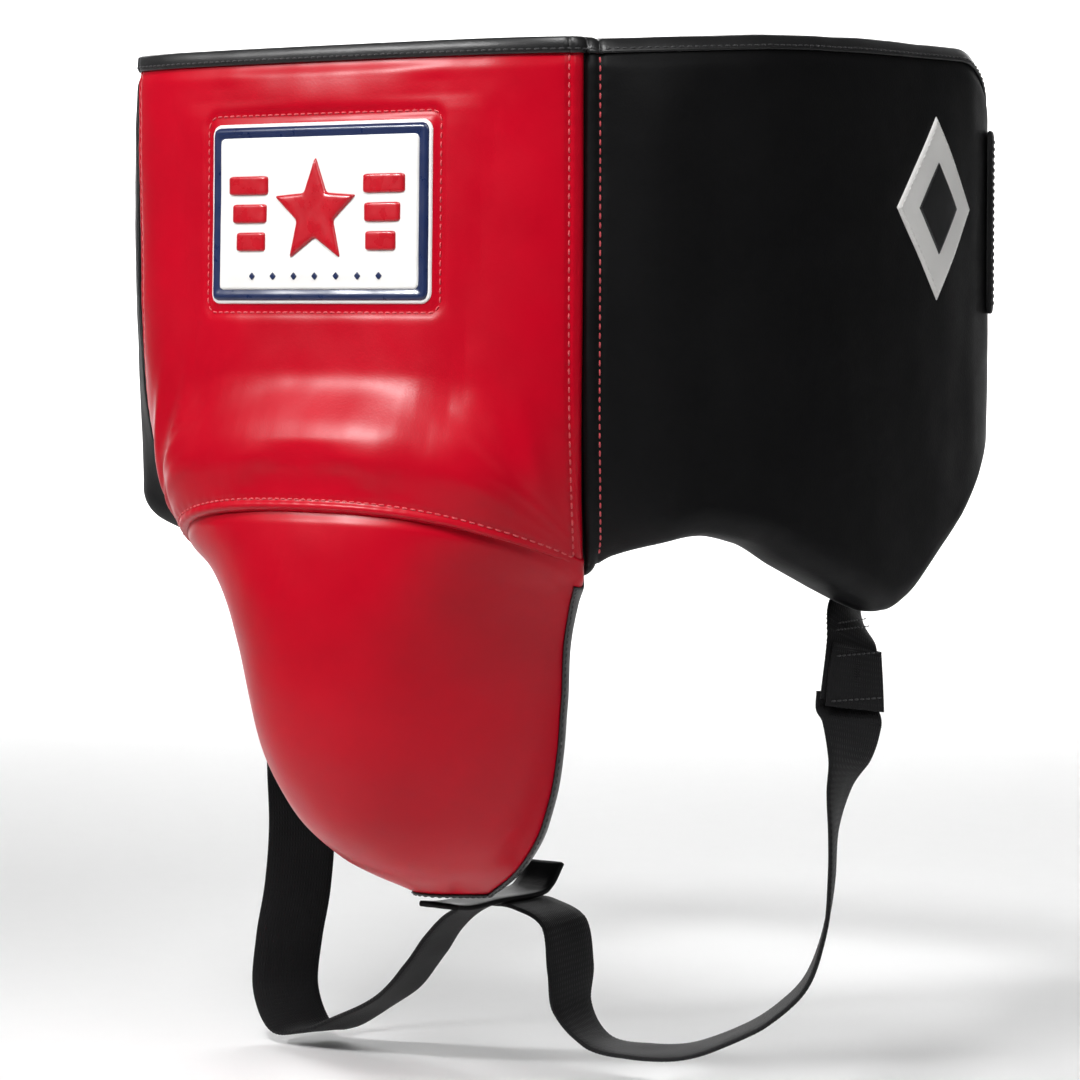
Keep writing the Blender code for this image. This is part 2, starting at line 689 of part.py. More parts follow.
LEG_RIGHT = [((-0.0010, 0.003, -0.2960), 90), ((-0.0120, 0.003, -0.2972), 92),
             ((-0.0270, 0.004, -0.3035), 96), ((-0.0400, 0.005, -0.3140), 98),
             ((-0.0525, 0.007, -0.3275), 98), ((-0.0715, 0.011, -0.3440), 94),
             ((-0.0960, 0.016, -0.3570), 86), ((-0.1200, 0.019, -0.3675), 74),
             ((-0.1400, 0.022, -0.3690), 64), ((-0.1530, 0.026, -0.3530), 58),
             ((-0.1535, 0.029, -0.3300), 56), ((-0.1505, 0.032, -0.3050), 54),
             ((-0.1500, 0.034, -0.2750), 58), ((-0.1550, 0.035, -0.2450), 78),
             ((-0.1590, 0.0345, -0.2200), 98), ((-0.1558, 0.0364, -0.2035), 109),
             ((-0.1553, 0.0368, -0.1965), 108)]
# The anchor hangs from the hip pad's lowest point; listed for the wearer's left
ANCHOR = [((0.1466, 0.0520, -0.1480), 108), ((0.1482, 0.0490, -0.1622), 108),
          ((0.1558, 0.0400, -0.1770), 86), ((0.1583, 0.0355, -0.2010), 71)]
FLAP = [((0.1560, 0.0397, -0.1785), 84), ((0.1570, 0.0376, -0.1905), 77),
        ((0.1584, 0.0353, -0.2045), 71)]
FLAP_NARROWER = 0.001


def crotch_tab():
    centres = spline(TAB, 2)
    across = [np.array([1.0, 0.0, 0.0])] * len(centres)
    ribbon("crotch_tab", centres, across, TAB_WIDTH, TAB_THICKNESS, black_leather())


def leg_band(points, steps=2):
    centres = spline([p for p, _ in points], steps)
    angles = spline([(a, 0.0, 0.0) for _, a in points], steps)[:, 0]
    widths = [np.array([math.cos(math.radians(a)), math.sin(math.radians(a)), 0.0]) for a in angles]
    return centres, widths


def leg_straps():
    for hand, route in (("left", LEG_LEFT), ("right", LEG_RIGHT)):
        centres, widths = leg_band(route)
        ribbon("leg_strap_" + hand, centres, widths, LEG_WIDTH, LEG_THICKNESS, elastic_web())


def leg_anchors():
    for hand, side in (("left", 1), ("right", -1)):
        points = [((side * p[0], p[1], p[2]), a if side > 0 else 180 - a) for p, a in ANCHOR]
        centres, widths = leg_band(points, 5)
        ribbon("leg_anchor_" + hand, centres, widths, LEG_WIDTH, LEG_THICKNESS, black_tape())
        flap(hand, side)


def flap(hand, side):
    """Hook-and-loop flap that covers the joint between anchor and leg strap."""
    points = [((side * p[0], p[1], p[2]), a if side > 0 else 180 - a) for p, a in FLAP]
    centres, widths = leg_band(points, 5)
    offset = LEG_THICKNESS / 2 + 4 * GAP + FLAP_THICKNESS / 2
    ribbon("leg_flap_" + hand, centres, widths, LEG_WIDTH - FLAP_NARROWER, FLAP_THICKNESS, hook_tape(),
           offset * side)


# ------------------------------------------------------------------ joint axes
# A point on each hinge line, for the wearer's left
HIP_PIVOT = (0.1225, -0.104, 0.0)
CLOSURE_PIVOT = (0.1688, 0.1262, 0.003)
FLAP_PIVOT = (0.1582, 0.0395, -0.1785)
HIP_PIECES = ["hip_cover", "hip_foam", "hip_lining", "top_binding", "hip_patch",
              "hip_patch_inlay", "leg_anchor"]
CLOSURE_PIECES = {"left": ["back_strap_left", "hook_patch", "pull_tab"],
                  "right": ["back_strap_right", "loop_patch"]}


def pivot(name, point, pieces):
    """An empty on a hinge line that carries its body's pieces without moving them."""
    empty = bpy.data.objects.new(name, None)
    empty.location = point
    PARTS.objects.link(empty)
    for piece in pieces:
        obj = bpy.data.objects[piece]
        obj.parent = empty
        obj.matrix_parent_inverse = Matrix.Translation(-Vector(point))


def pivots():
    for hand, side in (("left", 1), ("right", -1)):
        hip, closure, flap_top = [(side * x, y, z)
                                  for x, y, z in (HIP_PIVOT, CLOSURE_PIVOT, FLAP_PIVOT)]
        pivot("pivot_closure_" + hand, closure, CLOSURE_PIECES[hand])
        pivot("pivot_flap_" + hand, flap_top, ["leg_flap_" + hand])
        carried = [piece + "_" + hand for piece in HIP_PIECES]
        carried += ["pivot_closure_" + hand, "pivot_flap_" + hand]
        pivot("pivot_hip_" + hand, hip, carried)


def main():
    clear_scene()
    front_layers()
    cup_layers()
    front_top_binding()
    cup_edge_binding()
    badge()
    for hand, side in (("left", 1), ("right", -1)):
        hip_layers(side, hand)
        hip_patches(side, hand)
    back_closure()
    crotch_tab()
    leg_straps()
    leg_anchors()
    pivots()


main()
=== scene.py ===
"""Looks for the boxing groin protector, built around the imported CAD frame.

Frame: origin at the centre of the waist, +X to the wearer's left, -Y to the front, +Z up;
metres. The padded surfaces follow the same smooth forms as the CAD, at a finer grid, with
folds, puckers, stitching and procedural leather on top. A depth is counted inward from the
padding's outer face.
"""
import math

import bmesh
import bpy
import numpy as np
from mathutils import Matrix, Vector, noise


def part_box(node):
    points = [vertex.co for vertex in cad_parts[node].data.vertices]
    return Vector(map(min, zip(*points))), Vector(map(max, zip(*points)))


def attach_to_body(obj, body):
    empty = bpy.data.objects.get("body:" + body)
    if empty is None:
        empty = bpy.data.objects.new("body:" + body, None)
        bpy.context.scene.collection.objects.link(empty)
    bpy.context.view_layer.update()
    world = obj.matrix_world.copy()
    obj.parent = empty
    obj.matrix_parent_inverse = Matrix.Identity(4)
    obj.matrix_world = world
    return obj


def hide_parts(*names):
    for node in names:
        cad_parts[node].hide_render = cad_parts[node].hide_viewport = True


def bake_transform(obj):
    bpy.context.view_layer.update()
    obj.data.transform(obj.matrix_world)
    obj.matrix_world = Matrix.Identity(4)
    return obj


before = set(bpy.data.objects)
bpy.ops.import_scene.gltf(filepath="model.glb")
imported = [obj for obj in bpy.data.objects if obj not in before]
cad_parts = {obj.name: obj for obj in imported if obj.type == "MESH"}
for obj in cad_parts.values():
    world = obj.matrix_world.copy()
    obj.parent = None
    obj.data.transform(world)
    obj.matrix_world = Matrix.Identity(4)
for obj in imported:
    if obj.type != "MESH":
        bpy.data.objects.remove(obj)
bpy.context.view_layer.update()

# ------------------------------------------------------------------ dimensions, metres
PANEL_THICKNESS = 0.020
CUP_THICKNESS = 0.014
TIP_THICKNESS = 0.0075
HIP_THICKNESS = 0.021
EDGE_THICKNESS = 0.0040
STITCH_PITCH = 0.0037
THREAD_RADIUS = 0.00036
RIM_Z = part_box("front_cover")[1].z

PLAN = [(0, -0.120), (0.040, -0.1197), (0.080, -0.1175), (0.105, -0.1125), (0.1225, -0.104),
        (0.1385, -0.0845), (0.154, -0.062), (0.1655, -0.036), (0.1718, 0.0), (0.1745, 0.040),
        (0.1744, 0.078), (0.1708, 0.113), (0.1595, 0.139), (0.130, 0.1545), (0.085, 0.1625)]
SEAM_INDEX = 4
# Abdomen panel (stations 0 to 1) and cup (1 to 2): station, edge x, y, z, ridge y, z
FRONT = [(0.00, 0.1225, -0.1040, 0.0735, -0.1200, 0.0735),
         (0.25, 0.1225, -0.1040, 0.0300, -0.1202, 0.0300),
         (0.50, 0.1224, -0.1040, -0.0200, -0.1206, -0.0200),
         (0.70, 0.1208, -0.1022, -0.0680, -0.1232, -0.0600),
         (0.85, 0.1160, -0.0955, -0.1080, -0.1300, -0.0920),
         (1.00, 0.1060, -0.0820, -0.1430, -0.1350, -0.1190),
         (1.12, 0.0915, -0.0680, -0.1580, -0.1378, -0.1400),
         (1.25, 0.0808, -0.0590, -0.1780, -0.1390, -0.1600),
         (1.40, 0.0745, -0.0525, -0.2000, -0.1376, -0.1845),
         (1.58, 0.0686, -0.0485, -0.2285, -0.1318, -0.2160),
         (1.75, 0.0570, -0.0432, -0.2550, -0.1172, -0.2465),
         (1.88, 0.0380, -0.0365, -0.2755, -0.0945, -0.2690),
         (2.00, 0.0130, -0.0280, -0.2905, -0.0550, -0.2880)]
SQUARENESS = [(0.0, 4.0), (0.6, 3.8), (1.0, 2.6), (1.4, 2.3), (2.0, 2.2)]
SECTION_END = [(0.0, 58.0), (0.6, 60.0), (1.0, 74.0), (1.3, 82.0), (2.0, 84.0)]
HIP_BOTTOM = [(0.1254, -0.1445), (0.140, -0.1350), (0.158, -0.1288), (0.176, -0.1272),
              (0.203, -0.1312), (0.228, -0.1415), (0.260, -0.1540), (0.282, -0.1612),
              (0.292, -0.1635), (0.303, -0.1600), (0.323, -0.1465), (0.347, -0.1300),
              (0.370, -0.1100), (0.400, -0.0800)]
HIP_END_S = 0.398
RIM_RISE = 0.0036
RIM_RISE_LENGTH = 0.110
HIP_TOP_CORNER = 0.058
HIP_TOP_CORNER_DROP = 0.070
TUCK_FADE_S = 0.168


# ------------------------------------------------------------------ curves and noise
def smooth(table, at):
    """Values on a smooth curve through (key, value) pairs that doesn't overshoot."""
    keys = np.array([row[0] for row in table], float)
    values = np.array([row[1] for row in table], float)
    width = np.diff(keys)
    slopes = np.diff(values) / width
    ends = np.concatenate([[slopes[0]], np.zeros(len(keys) - 2), [slopes[-1]]])
    before, after = slopes[:-1], slopes[1:]
    same = before * after > 0
    ends[1:-1][same] = (2 * before * after)[same] / (before + after)[same]
    at = np.asarray(at, float)
    i = np.clip(np.searchsorted(keys, at) - 1, 0, len(keys) - 2)
    w = width[i]
    t = (at - keys[i]) / w
    return ((2 * t**3 - 3 * t**2 + 1) * values[i] + (t**3 - 2 * t**2 + t) * w * ends[i]
            + (3 * t**2 - 2 * t**3) * values[i + 1] + (t**3 - t**2) * w * ends[i + 1])


def spline(points, steps):
    p = [np.array(point, float) for point in points]
    p = [2 * p[0] - p[1]] + p + [2 * p[-1] - p[-2]]
    out = []
    for i in range(1, len(p) - 2):
        for k in range(steps):
            t = k / steps
            out.append(0.5 * (2 * p[i] + (p[i + 1] - p[i - 1]) * t
                              + (2 * p[i - 1] - 5 * p[i] + 4 * p[i + 1] - p[i + 2]) * t**2
                              + (3 * p[i] - p[i - 1] - 3 * p[i + 1] + p[i + 2]) * t**3))
    return np.array(out + [p[-2]])


def lengths(points):
    steps = np.linalg.norm(np.diff(points, axis=0), axis=-1)
    return np.concatenate([[0.0], np.cumsum(steps)])


def unit(vectors):
    return vectors / np.maximum(np.linalg.norm(vectors, axis=-1, keepdims=True), 1e-12)


def step01(t):
    t = np.clip(t, 0.0, 1.0)
    return t * t * (3 - 2 * t)


def bump(distance, width):
    return np.exp(-(distance / width) ** 2)


def noise_field(points, scale, seed=0.0):
    """Smooth noise, about -1 to 1, at each point of an (..., 3) array."""
    flat = points.reshape(-1, 3) * scale + seed
    values = [noise.noise(Vector(p)) for p in flat]
    return np.array(values).reshape(points.shape[:-1])


PLAN_CURVE = spline([(-PLAN[1][0], PLAN[1][1])] + PLAN, 24)[24:]
PLAN_S = lengths(PLAN_CURVE)
SEAM_S = PLAN_S[SEAM_INDEX * 24]


def plan_xy(s):
    return np.stack([np.interp(s, PLAN_S, PLAN_CURVE[:, 0]),
                     np.interp(s, PLAN_S, PLAN_CURVE[:, 1])], -1)


def plan_inward(s):
    along = unit(plan_xy(s + 0.004) - plan_xy(s - 0.004))
    return np.stack([-along[..., 1], along[..., 0]], -1)


# ------------------------------------------------------------------ surfaces
class Surface:
    """A grid of points and outward normals that can be read between its grid lines."""

    def __init__(self, points, flip=False):
        self.points = points
        across = np.gradient(points, axis=0)
        down = np.gradient(points, axis=1)
        self.normals = unit(np.cross(across, down)) * (-1 if flip else 1)

    def read(self, i, j):
        out = []
        n, m = self.points.shape[:2]
        i, j = np.clip(i, 0, n - 1.001), np.clip(j, 0, m - 1.001)
        a, b = i.astype(int), j.astype(int)
        fa, fb = (i - a)[..., None], (j - b)[..., None]
        for grid in (self.points, self.normals):
            out.append((grid[a, b] * (1 - fa) + grid[a + 1, b] * fa) * (1 - fb)
                       + (grid[a, b + 1] * (1 - fa) + grid[a + 1, b + 1] * fa) * fb)
        return out[0], unit(out[1])

    def moved(self, outward):
        return Surface.with_normals(self.points + self.normals * outward[..., None], self.normals)

    @staticmethod
    def with_normals(points, normals):
        made = Surface.__new__(Surface)
        made.points, made.normals = points, normals
        return made

    def refreshed(self, flip=False):
        return Surface(self.points, flip)


def front_loft(u, station):
    row = [smooth([(f[0], f[k]) for f in FRONT], station) for k in range(1, 6)]
    edge_x, edge_y, edge_z, ridge_y, ridge_z = row
    n = smooth(SQUARENESS, station)
    end = np.radians(smooth(SECTION_END, station))
    angle = np.abs(u) * end
    across = (np.sin(angle) / np.sin(end)) ** (2 / n)
    last = np.cos(end) ** (2 / n)
    forward = (np.cos(angle) ** (2 / n) - last) / (1 - last)
    return np.stack([np.sign(u) * edge_x * across, edge_y + (ridge_y - edge_y) * forward,
                     edge_z + (ridge_z - edge_z) * forward], -1)


def front_sheet(shares, stations):
    """The abdomen and cup's outer face on a grid that is even across each section.

    shares run -1 to 1 across a section by length. Returns the surface and each section's
    half length.
    """
    fine = np.linspace(0, 1, 400)
    points = np.zeros((len(shares), len(stations), 3))
    half = np.zeros(len(stations))
    for j, station in enumerate(stations):
        section = front_loft(fine, np.full(fine.shape, station))
        run = lengths(section)
        half[j] = run[-1]
        u = np.interp(np.abs(shares) * run[-1], run, fine)
        points[:, j] = front_loft(np.sign(shares) * u, np.full(len(shares), station))
    return Surface(points, flip=True), half


def front_thickness(stations):
    upper = smooth([(0.0, PANEL_THICKNESS), (0.6, PANEL_THICKNESS), (1.0, CUP_THICKNESS)],
                   np.minimum(stations, 1.0))
    lower = smooth([(1.0, CUP_THICKNESS), (1.7, CUP_THICKNESS), (2.0, TIP_THICKNESS)],
                   np.maximum(stations, 1.0))
    return np.where(stations <= 1.0, upper, lower)


def hip_top(s):
    t = np.clip((s - (HIP_END_S - HIP_TOP_CORNER)) / HIP_TOP_CORNER, 0.0, 1.0)
    corner = HIP_TOP_CORNER_DROP * (1 - np.sqrt(1 - t * t))
    return RIM_Z + RIM_RISE * step01((s - SEAM_S) / RIM_RISE_LENGTH) - corner


def hip_bottom(s):
    return smooth(HIP_BOTTOM, s)


def hip_tuck(s, z):
    heights = [(f[3], f[1], f[2]) for f in reversed(FRONT) if f[0] <= 1.0]
    held = np.clip(z, heights[0][0], 0.0)
    x = smooth([(h[0], h[1]) for h in heights], held) - FRONT[0][1]
    y = smooth([(h[0], h[2]) for h in heights], held) - FRONT[0][2]
    fade = 1 - step01((s - SEAM_S) / (TUCK_FADE_S - SEAM_S))
    return np.stack([x * fade, y * fade], -1)


def hip_points(side, s, z, depth):
    xy = plan_xy(s) + hip_tuck(s, z) + plan_inward(s) * depth[..., None]
    return np.stack([side * xy[..., 0], xy[..., 1], z], -1)


def roll(distance, radius, start):
    t = 1 - np.clip(distance / radius, 0.0, 1.0)
    return start + (1 - start) * np.sqrt(1 - t * t)


# ------------------------------------------------------------------ mesh building
def mesh_object(name, points, faces, finish, uv=None, attributes=None):
    mesh = bpy.data.meshes.new(name)
    mesh.from_pydata([tuple(p) for p in points], [], faces)
    bm = bmesh.new()
    bm.from_mesh(mesh)
    bmesh.ops.recalc_face_normals(bm, faces=bm.faces)
    bm.to_mesh(mesh)
    bm.free()
    if uv is not None:
        layer = mesh.uv_layers.new(name="UVMap")
        index = np.zeros(len(mesh.loops), int)
        mesh.loops.foreach_get("vertex_index", index)
        layer.data.foreach_set("uv", np.asarray(uv, np.float32)[index].ravel())
    for key, values in (attributes or {}).items():
        attribute = mesh.attributes.new(key, "FLOAT", "POINT")
        attribute.data.foreach_set("value", np.asarray(values, np.float32).ravel())
    mesh.materials.append(finish)
    obj = bpy.data.objects.new(name, mesh)
    bpy.context.scene.collection.objects.link(obj)
    mesh.shade_smooth()
    return obj


def grid_faces(n, m, offset=0, flip=False):
    i, j = np.meshgrid(np.arange(n - 1), np.arange(m - 1), indexing="ij")
    a = (i * m + j + offset).ravel()
    quads = np.stack([a, a + m, a + m + 1, a + 1], -1)
    return (quads[:, ::-1] if flip else quads).tolist()


def border(n, m):
    """Grid indices once round a grid's border."""
    top = [i * m for i in range(n)]
    right = [(n - 1) * m + j for j in range(1, m)]
    bottom = [i * m + m - 1 for i in range(n - 2, -1, -1)]
    left = [j for j in range(m - 2, 0, -1)]
    return top + right + bottom + left


def closed_pad(name, outer, inner, finish, bulge=0.0, rings=3, wear=None, flip=False):
    """A closed pad between two grids, with a rounded wall round the border."""
    n, m = outer.shape[:2]
    count = n * m
    points = [outer.reshape(-1, 3), inner.reshape(-1, 3)]
    faces = grid_faces(n, m, 0, flip) + grid_faces(n, m, count, not flip)
    loop = np.array(border(n, m))
    a, b = points[0][loop], points[1][loop]
    inside = np.clip(np.stack(np.unravel_index(loop, (n, m)), -1), [3, 3], [n - 4, m - 4])
    inward = points[0][inside[:, 0] * m + inside[:, 1]]
    away = unit(a - inward)
    previous = loop
    start = 2 * count
    for r in range(1, rings + 1):
        t = r / (rings + 1)
        ring = a * (1 - t) + b * t + away * bulge * math.sin(math.pi * t)
        points.append(ring)
        index = start + np.arange(len(loop))
        faces += wall(previous, index, flip)
        previous = index
        start += len(loop)
    faces += wall(previous, loop + count, flip)
    everything = np.vstack(points)
    attributes = None
    if wear is not None:
        values = np.zeros(len(everything))
        values[:count] = wear.ravel()
        attributes = {"wear": values}
    return mesh_object(name, everything, faces, finish, attributes=attributes)


def wall(a, b, flip):
    ahead_a, ahead_b = np.roll(a, -1), np.roll(b, -1)
    quads = np.stack([a, b, ahead_b, ahead_a], -1)
    return (quads[:, ::-1] if flip else quads).tolist()


def sweep(name, sections, finish):
    """A closed solid through rings of points: sections is (count, ring, 3)."""
    n, m = sections.shape[:2]
    points = sections.reshape(-1, 3)
    i = np.arange(n - 1)[:, None] * m
    k = np.arange(m)[None, :]
    j = (k + 1) % m
    faces = np.stack([i + k, i + j, i + m + j, i + m + k], -1).reshape(-1, 4).tolist()
    first, last = list(range(m)), list(range((n - 1) * m, n * m))
    faces += [first[::-1], last]
    run = lengths(sections.mean(1))
    around = np.concatenate([[0.0], np.cumsum(np.linalg.norm(
        np.diff(sections[n // 2], axis=0), axis=-1))])
    uv = np.stack(np.broadcast_arrays(run[:, None], around[None, :]), -1).reshape(-1, 2)
    return mesh_object(name, points, faces, finish, uv=uv)


def stitches(name, path, normals, finish, pitch=STITCH_PITCH, radius=THREAD_RADIUS, share=0.72,
             slant=0.0):
    """A row of sewn stitches: short plump threads whose ends dive into the leather."""
    run = lengths(path)
    count = max(int(run[-1] / pitch), 2)
    at = (np.arange(count) + 0.5) * run[-1] / count
    pitch = run[-1] / count
    read = lambda grid, where: np.stack([np.interp(where, run, grid[:, k]) for k in range(3)], -1)
    centre, normal = read(path, at), unit(read(normals, at))
    ahead = unit(read(path, at + pitch * 0.3) - read(path, at - pitch * 0.3))
    side = unit(np.cross(normal, ahead))
    ahead = unit(ahead + side * slant)
    side = unit(np.cross(normal, ahead))
    along = np.array([-1.0, -0.86, -0.45, 0.0, 0.45, 0.86, 1.0])
    thick = np.array([0.45, 0.8, 1.0, 1.05, 1.0, 0.8, 0.45])
    lift = np.array([-0.9, -0.05, 0.5, 0.62, 0.5, -0.05, -0.9])
    spokes = 6
    angles = np.arange(spokes) / spokes * 2 * math.pi
    points, faces = [], []
    base = 0
    for k in range(count):
        ring_centres = (centre[k] + ahead[k] * (along * pitch * share / 2)[:, None]
                        + normal[k] * (lift * radius)[:, None])
        for c, r in zip(ring_centres, thick * radius):
            points.append(c + np.outer(np.cos(angles) * r, side[k])
                          + np.outer(np.sin(angles) * r * 0.8, normal[k]))
        for ring in range(len(along) - 1):
            for q in range(spokes):
                a, b = base + ring * spokes + q, base + ring * spokes + (q + 1) % spokes
                faces.append((b, a, a + spokes, b + spokes))
        faces.append(tuple(base + q for q in range(spokes)))
        last = base + (len(along) - 1) * spokes
        faces.append(tuple(last + q for q in reversed(range(spokes))))
        base += len(along) * spokes
    return mesh_object(name, np.vstack(points), faces, finish)


# ------------------------------------------------------------------ materials
class Nodes:
    """A short way to write a node tree."""

    def __init__(self, name, colour, roughness):
        self.material = bpy.data.materials.new(name)
        self.material.use_nodes = True
        self.tree = self.material.node_tree
        self.shader = self.tree.nodes["Principled BSDF"]
        self.shader.inputs["Base Color"].default_value = (*colour, 1.0)
        self.shader.inputs["Roughness"].default_value = roughness

    def set(self, **values):
        for key, value in values.items():
            self.shader.inputs[key.replace("_", " ")].default_value = value
        return self

    def add(self, kind, values=None, **settings):
        node = self.tree.nodes.new(kind)
        for key, value in settings.items():
            setattr(node, key, value)
        for key, value in (values or {}).items():
            socket = node.inputs[key]
            if isinstance(value, bpy.types.NodeSocket):
                self.tree.links.new(value, socket)
            else:
                socket.default_value = value
        return node

    def coords(self, kind="Object"):
        return self.add("ShaderNodeTexCoord").outputs[kind]

    def noise(self, scale, detail=3.0, rough=0.5, vector=None):
        vector = vector or self.coords()
        return self.add("ShaderNodeTexNoise", {"Vector": vector, "Scale": scale, "Detail": detail,
                                               "Roughness": rough}).outputs["Fac"]

    def voronoi(self, scale, vector=None, feature="F1", output="Distance"):
        vector = vector or self.coords()
        return self.add("ShaderNodeTexVoronoi", {"Vector": vector, "Scale": scale},
                        feature=feature).outputs[output]

    def ramp(self, value, low, high, out_low=0.0, out_high=1.0):
        return self.add("ShaderNodeMapRange", {"Value": value, "From Min": low, "From Max": high,
                                               "To Min": out_low, "To Max": out_high}).outputs[0]

    def math(self, operation, a, b):
        return self.add("ShaderNodeMath", {0: a, 1: b}, operation=operation).outputs[0]

    def mix(self, factor, a, b):
        node = self.add("ShaderNodeMix", data_type="RGBA")
        for socket, value in ((node.inputs[0], factor), (node.inputs[6], a), (node.inputs[7], b)):
            if isinstance(value, bpy.types.NodeSocket):
                self.tree.links.new(value, socket)
            elif socket.type == "RGBA":
                socket.default_value = (*value, 1.0)
            else:
                socket.default_value = value
        return node.outputs[2]

    def attribute(self, name):
        return self.add("ShaderNodeAttribute", attribute_name=name).outputs["Fac"]

    def link(self, output, target):
        self.tree.links.new(output, self.shader.inputs[target])
        return self

    def bumps(self, *layers):
        """Stacked bumps, each (height, strength, distance)."""
        normal = None
        for height, strength, distance in layers:
            values = {"Height": height, "Strength": strength, "Distance": distance}
            if normal is not None:
                values["Normal"] = normal
            normal = self.add("ShaderNodeBump", values).outputs["Normal"]
        self.link(normal, "Normal")
        return self


def leather(name, colour, deep, worn, roughness, grain, grain_strength, coat, shine=0.5):
    made = Nodes(name, colour, roughness)
    cells = made.voronoi(grain, feature="SMOOTH_F1")
    fine = made.noise(grain * 1.7, 4.0, 0.6)
    broad = made.noise(14.0, 4.0, 0.55)
    creases = made.noise(95.0, 5.0, 0.65)
    wear = made.attribute("wear")
    tone = made.mix(made.ramp(broad, 0.32, 0.7), deep, colour)
    tone = made.mix(made.ramp(fine, 0.35, 0.75, 0.0, 0.18), tone, deep)
    worn_here = made.math("MULTIPLY", wear, made.ramp(creases, 0.35, 0.65, 0.35, 1.0))
    made.link(made.mix(worn_here, tone, worn), "Base Color")
    rough = made.ramp(made.noise(42.0, 5.0, 0.6), 0.3, 0.7, roughness - 0.05, roughness + 0.07)
    made.link(made.math("ADD", rough, made.math("MULTIPLY", worn_here, 0.12)), "Roughness")
    made.set(Coat_Weight=coat, Coat_Roughness=0.28, Specular_IOR_Level=shine)
    made.bumps((cells, grain_strength, 0.0005), (fine, grain_strength * 0.6, 0.0003),
               (creases, 0.06, 0.0012))
    return made.material


def woven(name, colour, light, pitch, roughness, sheen, uv=True, twill=1.0):
    """Woven cloth with a real pitch, in metres, between its threads."""
    made = Nodes(name, colour, roughness)
    vector = made.coords("UV" if uv else "Object")
    split = made.add("ShaderNodeSeparateXYZ", {"Vector": vector}).outputs
    along = made.math("SINE", made.math("MULTIPLY", split[0], 2 * math.pi / pitch * twill), 0.0)
    across = made.math("SINE", made.math("MULTIPLY", split[1], 2 * math.pi / pitch), 0.0)
    weave = made.math("ADD", made.math("MULTIPLY", along, across), across)
    height = made.ramp(weave, -2.0, 2.0)
    fuzz = made.noise(2600.0, 3.0, 0.6)
    tone = made.mix(made.ramp(made.noise(30.0, 4.0), 0.35, 0.7, 0.0, 0.6), colour, light)
    tone = made.mix(made.math("MULTIPLY", height, 0.45), tone, light)
    made.link(tone, "Base Color")
    made.link(made.ramp(fuzz, 0.3, 0.7, roughness - 0.08, roughness + 0.08), "Roughness")
    made.set(Sheen_Weight=sheen, Sheen_Roughness=0.45, Specular_IOR_Level=0.2)
    made.bumps((height, 0.55, 0.0004), (fuzz, 0.25, 0.0002))
    return made.material


def hook_pile(name, colour, light):
    made = Nodes(name, colour, 0.9)
    cells = made.voronoi(1500.0)
    fuzz = made.noise(3000.0, 2.0)
    made.link(made.mix(made.ramp(cells, 0.1, 0.6), light, colour), "Base Color")
    made.link(made.ramp(fuzz, 0.3, 0.7, 0.8, 0.98), "Roughness")
    made.set(Sheen_Weight=0.5, Sheen_Roughness=0.5)
    made.bumps((cells, 0.8, 0.0008), (fuzz, 0.4, 0.0004))
    return made.material


def vinyl(name, colour, deep, roughness=0.3, coat=0.35):
    made = Nodes(name, colour, roughness)
    pores = made.noise(900.0, 3.0, 0.55)
    broad = made.noise(55.0, 3.0)
    made.link(made.mix(made.ramp(broad, 0.35, 0.7, 0.0, 0.5), colour, deep), "Base Color")
    made.link(made.ramp(made.noise(160.0, 4.0), 0.3, 0.7, roughness - 0.06, roughness + 0.1),
              "Roughness")
    made.set(Coat_Weight=coat, Coat_Roughness=0.15)
    made.bumps((pores, 0.12, 0.0002), (broad, 0.08, 0.0008))
    return made.material


def thread(name, colour, light):
    made = Nodes(name, colour, 0.55)
    strands = made.noise(5200.0, 2.0, 0.5)
    made.link(made.mix(made.ramp(strands, 0.35, 0.65), colour, light), "Base Color")
    made.link(made.ramp(strands, 0.3, 0.7, 0.45, 0.7), "Roughness")
    made.set(Sheen_Weight=0.3, Sheen_Roughness=0.4)
    made.bumps((strands, 0.5, 0.0002))
    return made.material


def studio_floor(name):
    made = Nodes(name, (0.92, 0.92, 0.92), 0.8)
    grain = made.noise(60.0, 2.0)
    made.link(made.mix(made.ramp(grain, 0.3, 0.7, 0.0, 0.2), (0.93, 0.93, 0.93),
                       (0.90, 0.90, 0.90)), "Base Color")
    return made.material


RED = leather("red_leather", (0.54, 0.0002, 0.0140), (0.43, 0.0002, 0.0105), (0.55, 0.006, 0.020),
              0.33, 1300.0, 0.06, 0.22, 0.10)
BLACK = leather("black_leather", (0.0048, 0.0048, 0.0052), (0.0032, 0.0032, 0.0036),
                (0.012, 0.012, 0.013), 0.50, 1150.0, 0.10, 0.0, 0.13)
TAPE = leather("binding_leather", (0.011, 0.011, 0.0115), (0.007, 0.007, 0.0075),
               (0.03, 0.03, 0.031), 0.40, 1500.0, 0.12, 0.10)
LINING = woven("nylon_lining", (0.016, 0.016, 0.018), (0.03, 0.03, 0.033), 0.0011, 0.62, 0.25,
               uv=False)
ELASTIC = woven("elastic_webbing", (0.0055, 0.0055, 0.006), (0.011, 0.011, 0.012), 0.0013, 0.75, 0.06,
                twill=0.5)
PILE = hook_pile("hook_and_loop", (0.010, 0.010, 0.011), (0.028, 0.028, 0.03))
NAVY = vinyl("navy_vinyl", (0.010, 0.022, 0.085), (0.006, 0.014, 0.06))
WHITE = vinyl("white_vinyl", (0.90, 0.89, 0.87), (0.82, 0.81, 0.79), 0.34, 0.25)
RED_VINYL = vinyl("red_vinyl", (0.52, 0.004, 0.014), (0.42, 0.003, 0.011), 0.28, 0.4)
BLACK_VINYL = vinyl("black_vinyl", (0.010, 0.010, 0.011), (0.006, 0.006, 0.007), 0.34, 0.2)
